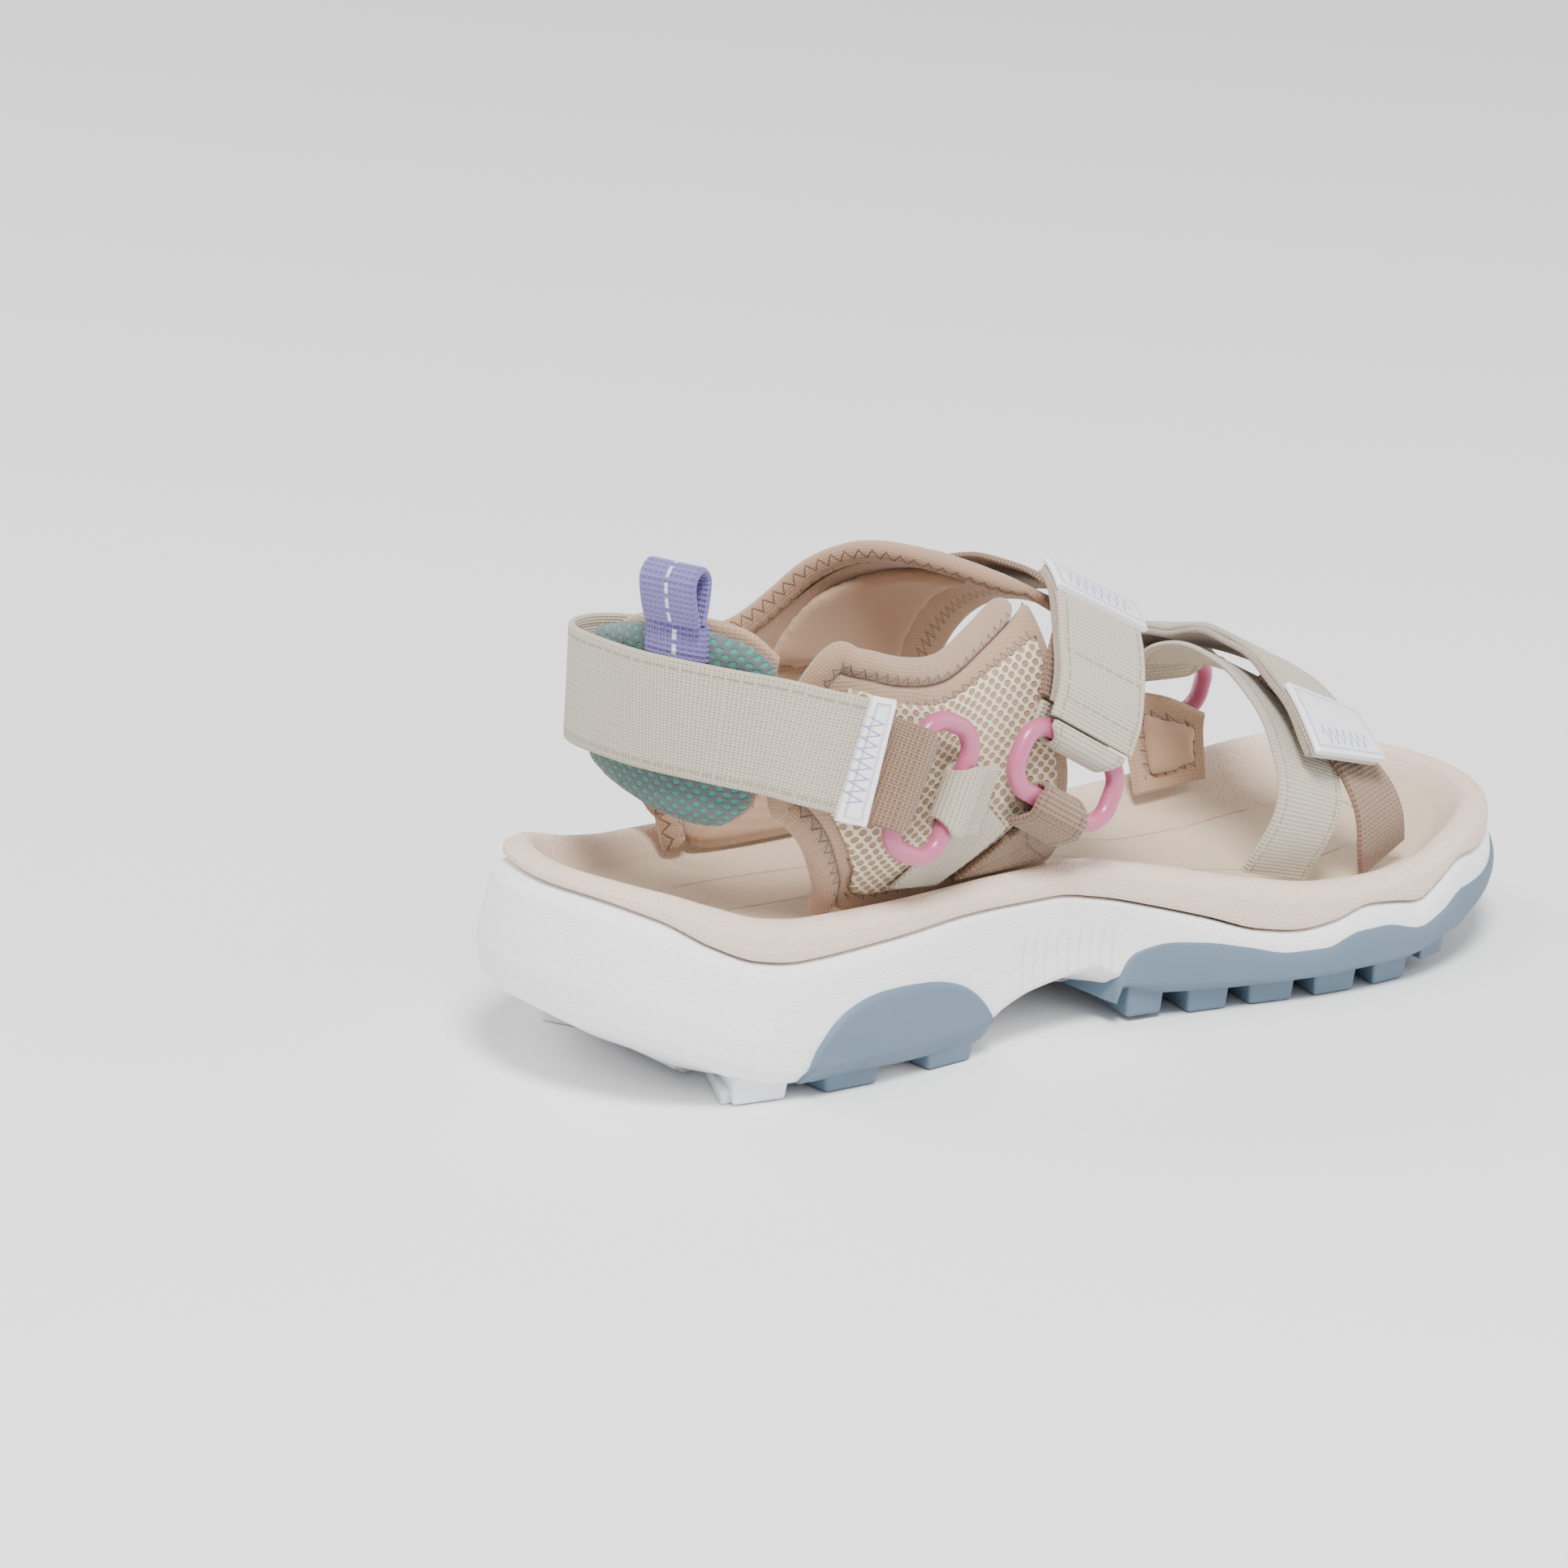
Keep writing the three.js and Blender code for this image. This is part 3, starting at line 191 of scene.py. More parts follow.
def foot_half(x):
    if x >= HEEL_FRONT:
        return foot_side(x)
    back = min(1, (HEEL_FRONT - x) / (HEEL_FRONT - HEEL_BACK))
    return foot_side(HEEL_FRONT) * (1 - back ** (2 / HEEL_ROUND)) ** (HEEL_ROUND / 2)


def over_foot(x, u):
    angle = abs(u) * math.pi / 2
    share = max(0, math.cos(angle)) ** foot_round(x)
    height = foot_rise(x) * share
    half = foot_half(x) - foot_pinch(height)
    middle = foot_middle(x) + foot_lean(x) * share * share
    side = math.copysign(1, u) if u else 0
    swing = max(0, math.sin(angle)) ** foot_round(x)
    return (x, middle + side * half * swing, recess(x) + height)


def u_at(x, z):
    share = clamp((z - recess(x)) / foot_rise(x))
    return math.acos(share ** (1 / foot_round(x))) * 2 / math.pi


def lateral(x, z):
    return over_foot(x, -u_at(x, z))


def medial(x, z):
    return over_foot(x, u_at(x, z))


def round_heel(turn, z):
    angle = min(abs(turn), math.pi / 2)
    beyond = (abs(turn) - angle) * 36
    x = HEEL_FRONT - (HEEL_FRONT - HEEL_BACK) * max(0, math.cos(angle)) ** HEEL_ROUND + beyond
    return over_foot(x, (-1 if turn < 0 else 1) * u_at(x, z))


def turn_at(x, side):
    if x >= HEEL_FRONT:
        return side * (math.pi / 2 + (x - HEEL_FRONT) / 36)
    return side * math.acos(((HEEL_FRONT - x) / (HEEL_FRONT - HEEL_BACK)) ** (1 / HEEL_ROUND))


def off_exactly(surface, a, b, distance):
    """A point at a distance from the foot and the direction away from the foot there."""
    step = 1e-3
    x, y, z = surface(a, b)
    p, q = ([h - k for h, k in zip(surface(*high), surface(*low))] for high, low in (
        ((a + step, b), (a - step, b)), ((a, b + step), (a, b - step)),
    ))
    nx, ny, nz = p[1] * q[2] - p[2] * q[1], p[2] * q[0] - p[0] * q[2], p[0] * q[1] - p[1] * q[0]
    length = math.sqrt(nx * nx + ny * ny + nz * nz)
    if nx * (x - max(x, HEEL_FRONT)) + ny * (y - foot_middle(x)) + nz * (z - min(z, 55)) < 0:
        length = -length
    nx, ny, nz = nx / length, ny / length, nz / length
    return (x + nx * distance, y + ny * distance, z + nz * distance), (nx, ny, nz)


def off(surface, a, b, distance=0.0):
    point, normal = off_exactly(surface, a, b, distance)
    return Vector(point), Vector(normal)


def place_of(surface, aim, guess):
    """The [a, b, distance] place of a point near a surface."""
    step = 1e-2
    a, b, d = guess[0], guess[1], 0.0
    for _ in range(12):
        point, normal = (np.array(v) for v in off_exactly(surface, a, b, d))
        along_a = (np.array(off_exactly(surface, a + step, b, d)[0]) - point) / step
        along_b = (np.array(off_exactly(surface, a, b + step, d)[0]) - point) / step
        move = np.linalg.solve(np.array([along_a, along_b, normal]).T, np.array(aim) - point)
        a, b, d = a + move[0], b + move[1], d + move[2]
    return [a, b, d]


# ---------------------------------------------------------------- meshes


def made(name, points, faces, layers, node=None, body=None, smooth_angle=None):
    """An object from millimetre points, with UV layers given for every vertex."""
    mesh = bpy.data.meshes.new(name)
    mesh.from_pydata([(p + SHIFT) * MM for p in points], [], faces)
    mesh.validate()
    for layer_name, values in layers.items():
        layer = mesh.uv_layers.new(name=layer_name)
        for loop in mesh.loops:
            layer.data[loop.index].uv = values[loop.vertex_index]
    edit = bmesh.new()
    edit.from_mesh(mesh)
    bmesh.ops.remove_doubles(edit, verts=edit.verts, dist=1e-7)
    bmesh.ops.recalc_face_normals(edit, faces=edit.faces)
    edit.to_mesh(mesh)
    edit.free()
    mesh.shade_smooth()
    obj = bpy.data.objects.new(name, mesh)
    bpy.context.scene.collection.objects.link(obj)
    if smooth_angle:
        mesh.set_sharp_from_angle(angle=math.radians(smooth_angle))
    if node:
        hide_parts(node)
        body = BODY[node]
    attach(obj, body)
    return obj


def section(width, thick, across):
    """Round an ovalled strap section: (across, out) pairs, its outer face first."""
    r = thick / 2
    flat = width / 2 - r
    outer = [(mix(-flat, flat, i / across), r) for i in range(across + 1)]
    turns = [math.pi / 2 - math.pi * k / 6 for k in range(1, 6)]
    right = [(flat + r * math.cos(t), r * math.sin(t)) for t in turns]
    inner = [(-v, -h) for v, h in outer]
    left = [(-v, -h) for v, h in right]
    return outer + right + inner + left


def strap(node, stations, width, thick=WEB, across=14, ripple=0.1, hump=None, name=None):
    """A flat strap through (point, width direction, share) stations."""
    last = len(stations) - 1
    ring = section(width, thick, across)
    points, uv, edge, face = [], [], [], []
    u = 0.0
    lengths = [(stations[i + 1][0] - stations[i][0]).length for i in range(last)]
    total = sum(lengths)
    for i, (point, wide, share) in enumerate(stations):
        run = stations[min(i + 1, last)][0] - stations[max(i - 1, 0)][0]
        out = run.cross(wide).normalized()
        for v, h in ring:
            wave = ripple * (2 * v / width) ** 2 * math.sin(u * 0.37 + width) if ripple else 0
            lift = h + wave + (hump(u / total, v) if hump else 0)
            points.append(point + wide * (v * share) + out * lift)
            uv.append((u, v))
            edge.append((width / 2 - abs(v), min(u, total - u)))
            face.append((u / total, v / width + 0.5))
        u += lengths[i] if i < last else 0
    n = len(ring)
    faces = [
        (i * n + j, i * n + (j + 1) % n, (i + 1) * n + (j + 1) % n, (i + 1) * n + j)
        for i in range(last)
        for j in range(n)
    ]
    faces += [tuple(range(n)), tuple(range(last * n + n - 1, last * n - 1, -1))]
    layers = {"UVMap": uv, "Edge": edge, "Face": face}
    return made(name or node + "_made", points, faces, layers, node, smooth_angle=50)


def sheet_points(surface, low_rail, high_rail, inner, outer, steps, trim=(0, 0, 0, 0), radius=1.0):
    """A panel between two rails whose edges are rounded off over some millimetres."""
    low, high = even_curve(low_rail), even_curve(high_rail)
    ns, nt = steps
    rear, front, under, over = trim
    grid = []
    for i in range(ns + 1):
        run = mix(rear, 1 - front, i / ns)
        a, b = low(run), high(run)
        grid.append([off(surface, *a.lerp(b, mix(under, 1 - over, j / nt))) for j in range(nt + 1)])
    rows = [sum((grid[i + 1][j][0] - grid[i][j][0]).length for i in range(ns)) for j in range(nt + 1)]
    points, uv, edge, face = [], [], [], []
    for side in (1, 0):
        for i in range(ns + 1):
            rise = sum((grid[i][j + 1][0] - grid[i][j][0]).length for j in range(nt))
            for j in range(nt + 1):
                s, t = i / ns, j / nt
                border = min(s * rows[j], (1 - s) * rows[j], t * rise, (1 - t) * rise)
                swell = math.sqrt(1 - (1 - clamp(border / radius)) ** 2)
                middle, half = (inner + outer) / 2, (outer - inner) / 2
                base, normal = grid[i][j]
                points.append(base + normal * (middle + (1 if side else -1) * half * swell))
                uv.append((base.x, grid[i][0][0].z + t * rise))
                edge.append((border, 0))
                face.append((s, t))
    size = (ns + 1) * (nt + 1)
    faces = []
    for side in (0, 1):
        for i in range(ns):
            for j in range(nt):
                a = side * size + i * (nt + 1) + j
                quad = (a, a + nt + 1, a + nt + 2, a + 1)
                faces.append(quad if side else quad[::-1])
    return points, faces, {"UVMap": uv, "Edge": edge, "Face": face}


def panel(node, surface, low, high, inner, outer, steps, trim=(0, 0, 0, 0), radius=1.0):
    points, faces, layers = sheet_points(surface, low, high, inner, outer, steps, trim, radius)
    return made(node + "_made", points, faces, layers, node)


def laid(surface, places, steps, start=0.0, end=1.0):
    path = curve(places)

    def on(t):
        place = path(clamp(t))
        return off(surface, place.x, place.y, place.z)

    stations = []
    for i in range(steps + 1):
        t = mix(start, end, i / steps)
        point, normal = on(t)
        ahead = on(t + 0.01)[0] - on(t - 0.01)[0]
        stations.append((point, normal.cross(ahead).normalized(), 1))
    return stations


def turning(run, direction, share):
    turned = []
    for i, (point, width, gather) in enumerate(run):
        t = smooth(i / (len(run) - 1), 1 - share, 1)
        aligned = direction * (-1 if width.dot(direction) < 0 else 1)
        turned.append((point, width.lerp(aligned, t).normalized(), gather))
    return turned


def ring_frame(surface, x, z, tilt):
    point, normal = off(surface, x, z, RING_OFFSET)
    level = Vector((1, 0, 0))
    level = (level - normal * level.dot(normal)).normalized()
    turn = Matrix.Rotation(math.radians(tilt) * -math.copysign(1, normal.y), 3, normal)
    along = turn @ level
    across = normal.cross(along)
    if across.z < 0:
        across.negate()
    return {"centre": point, "out": normal, "along": along, "across": across}


def bar_of(f, side):
    return f["centre"] + f["across"] * (side * (RING_WIDTH / 2 - BAR))


def beside_bar(f, side, away, out, aside=0.0):
    return bar_of(f, side) + f["across"] * (side * away) + f["out"] * out + f["along"] * aside


def fold(f, side, lead_out, lead_in):
    """The webbing's way round a bar, from the outside of the ring to the inside."""
    middle = bar_of(f, side)
    width = f["across"].cross(f["out"]) * side

    def place(outwards, away, share=1.0):
        return (middle + f["out"] * outwards + f["across"] * (side * away), width, share)

    arc = []
    for i in range(25):
        a = math.pi * i / 24
        arc.append(place(FOLD * math.cos(a), -FOLD * math.sin(a), 1 - 0.3 * math.sin(a)))
    before = [place(FOLD, lead_out * (1 - k / 3)) for k in range(3)]
    after = [place(-FOLD, lead_in * (k / 4)) for k in range(1, 5)]
    return before + arc + after


def ring(node, f):
    """A moulded ring: a round bar on a rounded oblong."""
    along, wide, out = f["along"], f["across"], f["along"].cross(f["across"])
    long = RING_LENGTH / 2 - BAR - RING_CORNER
    short = RING_WIDTH / 2 - BAR - RING_CORNER
    path = []
    for corner in range(4):
        for k in range(11):
            a = math.pi / 2 * (corner + k / 10)
            spoke = along * math.cos(a) + wide * math.sin(a)
            quarter = math.pi / 2 * (corner + 0.5)
            centre = along * math.copysign(long, math.cos(quarter))
            centre += wide * math.copysign(short, math.sin(quarter))
            path.append((f["centre"] + centre + spoke * RING_CORNER, spoke))
    sides = 20
    points = []
    for middle, spoke in path:
        for j in range(sides):
            a = 2 * math.pi * j / sides
            points.append(middle + spoke * (BAR * math.cos(a)) + out * (BAR * math.sin(a)))
    n = len(path)
    faces = [
        (i * sides + j, (i + 1) % n * sides + j, (i + 1) % n * sides + (j + 1) % sides, i * sides + (j + 1) % sides)
        for i in range(n)
        for j in range(sides)
    ]
    return made(node + "_made", points, faces, {"UVMap": [(0, 0)] * len(points)}, node)


def binding(node, surface, low_rail, high_rail, low_share, high_share, sideways):
    """The rolled edge of a side of the upper: a soft tube, wider than it is thick."""
    low, high = even_curve(low_rail), even_curve(high_rail)
    shares = [i / 9 for i in range(10)]
    edge = [low(low_share * (1 - s)) for s in shares] + [high(high_share * s) for s in shares]
    coarse = laid(surface, [(p.x, p.y, LINING / 2 + GAP) for p in edge], 24)
    aside = sideways * (BINDING + 4 * GAP)
    path = curve([p + w * aside for p, w, _ in coarse])
    wide_of = curve([w for _, w, _ in coarse])
    steps, sides = 260, 24
    stations = [path(i / steps) for i in range(steps + 1)]
    points, uv = [], []
    u = 0.0
    for i, middle in enumerate(stations):
        ahead = (stations[min(i + 1, steps)] - stations[max(i - 1, 0)]).normalized()
        wide = wide_of(i / steps)
        wide = (wide - ahead * wide.dot(ahead)).normalized() * sideways
        out = wide.cross(ahead).normalized() * -sideways
        if i:
            u += (middle - stations[i - 1]).length
        end = min(1, (i / steps) * 40, (1 - i / steps) * 40)
        tip = math.sqrt(1 - (1 - end) ** 2) * 0.9 + 0.1
        puff = 1 + 0.05 * abs(math.sin(u * math.pi / 2.4))
        for j in range(sides + 1):
            a = -math.pi + 2 * math.pi * j / sides
            # angle 0 looks away from the foot, and pi/2 towards the open edge
            across = 2.9 * math.sin(a) * tip
            lift = 2.1 * math.cos(a) * tip * puff
            points.append(middle + wide * (across - 0.4) + out * lift)
            uv.append((u, math.degrees(a) / 20))
    n = sides + 1
    faces = [(i * n + j, i * n + j + 1, i * n + n + j + 1, i * n + n + j) for i in range(steps) for j in range(sides)]
    faces += [tuple(range(sides)), tuple(range(steps * n + sides - 1, steps * n - 1, -1))]
    return made(node + "_made", points, faces, {"UVMap": uv}, node)


# ---------------------------------------------------------------- sole


def station(angle):
    x = LENGTH / 2 * (1 - math.cos(angle))
    rim = Vector((x, sole_middle(x) + fullness(x) * math.sin(angle), 0))
    spine_x = clamp(x, 42, 208)
    spine = Vector((spine_x, sole_middle(spine_x), 0))
    return x, rim, spine, (spine - rim).normalized()


def rounded(profile, radius, steps=4):
    """The [inset, z] profile with its corners cut round."""
    out = [profile[0]]
    for k in range(1, len(profile) - 1):
        a, b, c = (Vector(p) for p in profile[k - 1 : k + 2])
        r = min(radius, (a - b).length * 0.45, (c - b).length * 0.45)
        start, end = b + (a - b).normalized() * r, b + (c - b).normalized() * r
        for i in range(steps + 1):
            t = i / steps
            out.append(tuple(start * (1 - t) ** 2 + b * (2 * t * (1 - t)) + end * t * t))
    out.append(profile[-1])
    return out


def sole_ring(name, profile, node, angles, closed, radius=0.9):
    """A body whose section at each station of the sole is a profile; both its ends may be open."""
    points, faces, uv, edge = [], [], [], []
    rows = 0
    for angle in angles:
        x, rim, spine, inward = station(angle)
        shape = rounded(profile(x, spine.x, inward.x), radius)
        rows = len(shape)
        for row, (inset, z) in enumerate(shape):
            ends = row in (0, rows - 1)
            plan = spine if ends else rim + inward * inset
            points.append(Vector((plan.x, plan.y, z)))
            uv.append((x, z))
            edge.append((30 if ends else inset, z))
    n = len(angles)
    for i in range(n if closed else n - 1):
        j = (i + 1) % n
        faces += [(i * rows + r, i * rows + r + 1, j * rows + r + 1, j * rows + r) for r in range(rows - 1)]
    if not closed:
        faces += [tuple(range(rows)), tuple(range((n - 1) * rows, n * rows))]
    return made(name, points, faces, {"UVMap": uv, "Edge": edge}, node, smooth_angle=55)


ROUND = [2 * math.pi * i / 300 for i in range(300)]


def bed(x):
    """The underside of the footbed within its rim."""
    return recess(x) - footbed_thickness(x)


def footbed_profile(x, spine_x, lean):
    top, edge = crest(x), footbed_edge(x) + GAP / 2
    floor = recess(x)
    return [
        (0, recess(spine_x)),
        *((inset, recess(x + lean * inset)) for inset in (29, 23, 17)),
        (RIM + 3.4, recess(x + lean * RIM) + 0.2),
        (RIM + 0.6, mix(floor, top, 0.35)),
        (RIM - 1.6, mix(floor, top, 0.86)),
        (5.2, top - 0.1),
        (3.2, top),
        (1.2, top - 1.0),
        (0.1, mix(top, edge, 0.35)),
        (0, mix(top, edge, 0.8)),
        (0.5, edge + 0.1),
        (3, edge),
        (RIM, edge),
        (RIM + 1, bed(x + lean * RIM)),
        (17, bed(x + lean * 17)),
        (29, bed(x + lean * 29)),
        (0, bed(spine_x)),
    ]


def midsole_profile(x, spine_x, lean):
    edge, low = footbed_edge(x) - GAP / 2, lower_edge(x)
    spread = flare(x)
    return [
        (0, bed(spine_x) - GAP),
        (29, bed(x + lean * 29) - GAP),
        (17, bed(x + lean * 17) - GAP),
        (RIM + 1, bed(x + lean * RIM) - GAP),
        (RIM, edge - 0.2),
        (1.4, edge - 0.2),
        (0.2, edge - 0.6),
        (-0.4 * spread - 0.2, edge - 2.6),
        (-0.75 * spread, mix(edge, low, 0.35)),
        (-spread, mix(edge, low, 0.6)),
        (-0.8 * spread, mix(edge, low, 0.85)),
        (bevel(x), low),
        (bevel(x) + 12, underside(x)),
        (16, underside(x)),
        (0, underside(spine_x)),
    ]


def outsole_profile(x, spine_x, _lean):
    edge, low = footbed_edge(x), lower_edge(x)
    spread, top = flare(x), outsole_edge(x)
    steep = lambda z: -spread * smooth(edge - z, 0, (edge - low) * 0.6) - 1
    low = min(low, top - 1)
    return [
        (8, top - 0.2),
        (8, top),
        (0.6 + steep(top), top),
        (steep(mix(top, low, 0.3)), mix(top, low, 0.3)),
        (-0.8 * spread - 1, mix(top, low, 0.8)),
        (bevel(x) - 1, low),
        (bevel(x) + 12, min(underside(x), low)),
        (16, min(underside(x), low)),
        (0, min(underside(spine_x), low)),
    ]


def corner_of(side, x, inset):
    angle = math.acos(1 - 2 * x / LENGTH)
    _, rim, _, inward = station(2 * math.pi - angle if side < 0 else angle)
    return rim + inward * inset


def lug_points(side, x0, x1, outer, inner, bottom, top, slant=0):
    flat = [corner_of(side, x0, outer), corner_of(side, x1, outer)]
    flat += [corner_of(side, x1 + slant, inner), corner_of(side, x0 + slant, inner)]
    flat[0] = flat[0].lerp(flat[1], 0.06)
    centre = sum(flat, Vector((0, 0, 0))) / 4
    low = [p.lerp(centre, 0.1) + Vector((0, 0, bottom)) for p in flat]
    high = [p + Vector((0, 0, top)) for p in flat]
    return low + high


def lugs(name, blocks, node):
    points, faces = [], []
    for block in blocks:
        k = len(points)
        points += block
        faces += [(k, k + 1, k + 2, k + 3), (k + 7, k + 6, k + 5, k + 4)]
        faces += [(k + i, k + (i + 1) % 4, k + 4 + (i + 1) % 4, k + 4 + i) for i in range(4)]
    obj = made(name, points, faces, {"UVMap": [(p.x, p.y) for p in points]}, None, BODY[node], 30)
    soften = obj.modifiers.new("Soften", "BEVEL")
    soften.width, soften.segments, soften.limit_method = 0.0007, 3, "ANGLE"
    return obj


def heel_patch(node, side):
    """The domed rubber patch, standing proud of the foam at its side."""
    start, end, top = 41, 94, 21
    middle = (start + end) / 2 - 4
    points, faces, uv = [], [], []
    ns, nt = 80, 26
    for i in range(ns + 1):
        s = -1 + 2 * i / ns
        x = middle + s * (middle - start if s < 0 else end - middle)
        dome = 3.2 + (top - 3.2) * max(0, 1 - abs(s) ** 2.3) ** 0.5
        angle = math.acos(1 - 2 * x / LENGTH)
        _, rim, _, inward = station(2 * math.pi - angle if side < 0 else angle)
        profile = midsole_profile(x, x, 0)[6:13]
        for j in range(nt + 1):
            z = mix(dome, 2.2, j / nt)
            inset = bevel(x) + 12
            for (i0, z0), (i1, z1) in zip(profile, profile[1:]):
                if z1 <= z <= z0:
                    inset = mix(i0, i1, (z0 - z) / max(1e-6, z0 - z1))
                    break
            rim_in = min(1, (dome - z) / 1.3, (1 - abs(s)) * 24)
            proud = 1.15 * math.sqrt(1 - (1 - clamp(rim_in)) ** 2) - 0.5 * (1 - clamp(rim_in))
            point = rim + inward * (inset - proud)
            points.append(Vector((point.x, point.y, z)))
            uv.append((x, z))
    n = nt + 1
    faces = [(i * n + j, i * n + j + 1, i * n + n + j + 1, i * n + n + j) for i in range(ns) for j in range(nt)]
    return made(node + "_made", points, faces, {"UVMap": uv}, node)


# ---------------------------------------------------------------- node materials


def rgb(code):
    values = [int(code[i : i + 2], 16) / 255 for i in (0, 2, 4)]
    return [v / 12.92 if v <= 0.04045 else ((v + 0.055) / 1.055) ** 2.4 for v in values] + [1]


class Look:
    """A node material, built up step by step."""

    def __init__(self, name, color, rough, sheen=0.0, subsurface=0.0, coat=0.0):
        self.material = bpy.data.materials.new(name)
        self.material.use_nodes = True
        self.tree = self.material.node_tree
        self.surface = self.tree.nodes["Principled BSDF"]
        self.color = rgb(color)
        self.height = 0.0
        self.surface.inputs["Base Color"].default_value = self.color
        self.surface.inputs["Roughness"].default_value = rough
        if sheen:
            self.surface.inputs["Sheen Weight"].default_value = sheen
            self.surface.inputs["Sheen Roughness"].default_value = 0.5
        if subsurface:
            self.surface.inputs["Subsurface Weight"].default_value = subsurface
            self.surface.inputs["Subsurface Radius"].default_value = (0.003, 0.002, 0.002)
            self.surface.inputs["Subsurface Scale"].default_value = 0.5
        if coat:
            self.surface.inputs["Coat Weight"].default_value = coat
            self.surface.inputs["Coat Roughness"].default_value = 0.2

    def put(self, socket, value):
        if isinstance(value, bpy.types.NodeSocket):
            self.tree.links.new(value, socket)
        else:
            socket.default_value = value

    def math(self, operation, a, b=0.0, c=None):
        node = self.tree.nodes.new("ShaderNodeMath")
        node.operation = operation
        for socket, value in zip(node.inputs, (a, b) if c is None else (a, b, c)):
            self.put(socket, value)
        return node.outputs[0]

    def add(self, a, b):
        return self.math("ADD", a, b)

    def times(self, a, b):
        return self.math("MULTIPLY", a, b)

    def uv(self, layer="UVMap"):
        node = self.tree.nodes.new("ShaderNodeUVMap")
        node.uv_map = layer
        split = self.tree.nodes.new("ShaderNodeSeparateXYZ")
        self.tree.links.new(node.outputs[0], split.inputs[0])
        return split.outputs[0], split.outputs[1]

    def place(self):
        """The object's own x, y and z in millimetres, as one vector and as three numbers."""
        node = self.tree.nodes.new("ShaderNodeTexCoord")
        scale = self.tree.nodes.new("ShaderNodeVectorMath")
        scale.operation = "SCALE"
        scale.inputs["Scale"].default_value = 1000
        self.tree.links.new(node.outputs["Object"], scale.inputs[0])
        split = self.tree.nodes.new("ShaderNodeSeparateXYZ")
        self.tree.links.new(scale.outputs[0], split.inputs[0])
        return scale.outputs[0], split.outputs

    def noise(self, scale, detail=2.0, vector=None, rough=0.5):
        node = self.tree.nodes.new("ShaderNodeTexNoise")
        node.inputs["Scale"].default_value = scale
        node.inputs["Detail"].default_value = detail
        node.inputs["Roughness"].default_value = rough
        self.put(node.inputs["Vector"], vector if vector else self.place()[0])
        return node.outputs[0]

    def cells(self, scale, vector=None):
        node = self.tree.nodes.new("ShaderNodeTexVoronoi")
        node.feature = "DISTANCE_TO_EDGE"
        node.inputs["Scale"].default_value = scale
        self.put(node.inputs["Vector"], vector if vector else self.place()[0])
        return node.outputs["Distance"]

    def wave(self, value, pitch, shift=0.0):
        """0 to 1 and back once in each pitch."""
        turned = self.math("MULTIPLY_ADD", value, 2 * math.pi / pitch, shift)
        return self.math("MULTIPLY_ADD", self.math("SINE", turned), 0.5, 0.5)

    def zigzag(self, value, pitch):
        """-1 to 1 and back in straight lines once in each pitch."""
        return self.math("MULTIPLY_ADD", self.math("PINGPONG", value, pitch / 2), 4 / pitch, -1.0)

    def near(self, value, centre, half, soft=0.12):
        """1 where the value is within half of the centre, falling to 0."""
        away = self.math("ABSOLUTE", self.math("SUBTRACT", value, centre))
        node = self.tree.nodes.new("ShaderNodeMapRange")
        self.put(node.inputs["Value"], away)
        node.inputs["From Min"].default_value = half
        node.inputs["From Max"].default_value = half + soft
        node.inputs["To Min"].default_value = 1
        node.inputs["To Max"].default_value = 0
        return node.outputs[0]

    def ramp(self, value, low, high):
        """0 up to low, 1 from high on."""
        node = self.tree.nodes.new("ShaderNodeMapRange")
        self.put(node.inputs["Value"], value)
        node.inputs["From Min"].default_value = low
        node.inputs["From Max"].default_value = high
        return node.outputs[0]

    def dashes(self, value, length, gap):
        turned = self.math("PINGPONG", value, (length + gap) / 2)
        node = self.tree.nodes.new("ShaderNodeMapRange")
        self.put(node.inputs["Value"], turned)
        node.inputs["From Min"].default_value = gap / 2 - 0.06
        node.inputs["From Max"].default_value = gap / 2 + 0.12
        return node.outputs[0]

    def tint(self, share, color):
        """Mixes another colour in where share is 1."""
        node = self.tree.nodes.new("ShaderNodeMix")
        node.data_type = "RGBA"
        self.put(node.inputs[0], share)
        self.put(node.inputs[6], self.color)
        self.put(node.inputs[7], rgb(color) if isinstance(color, str) else color)
        self.color = node.outputs[2]
        self.put(self.surface.inputs["Base Color"], self.color)

    def raise_by(self, amount, share):
        """Raises the surface by an amount in millimetres times share."""
        self.height = self.math("MULTIPLY_ADD", share, amount, self.height)

    def finish(self, strength=0.8):
        node = self.tree.nodes.new("ShaderNodeBump")
        node.inputs["Strength"].default_value = strength
        node.inputs["Distance"].default_value = 0.001
        self.put(node.inputs["Height"], self.height)
        self.tree.links.new(node.outputs[0], self.surface.inputs["Normal"])
        return self.material


def wear(look, color, share=0.25, scale=0.05):
    """Slight unevenness of colour over some centimetres."""
    look.tint(look.times(look.noise(scale, 3), share), color)


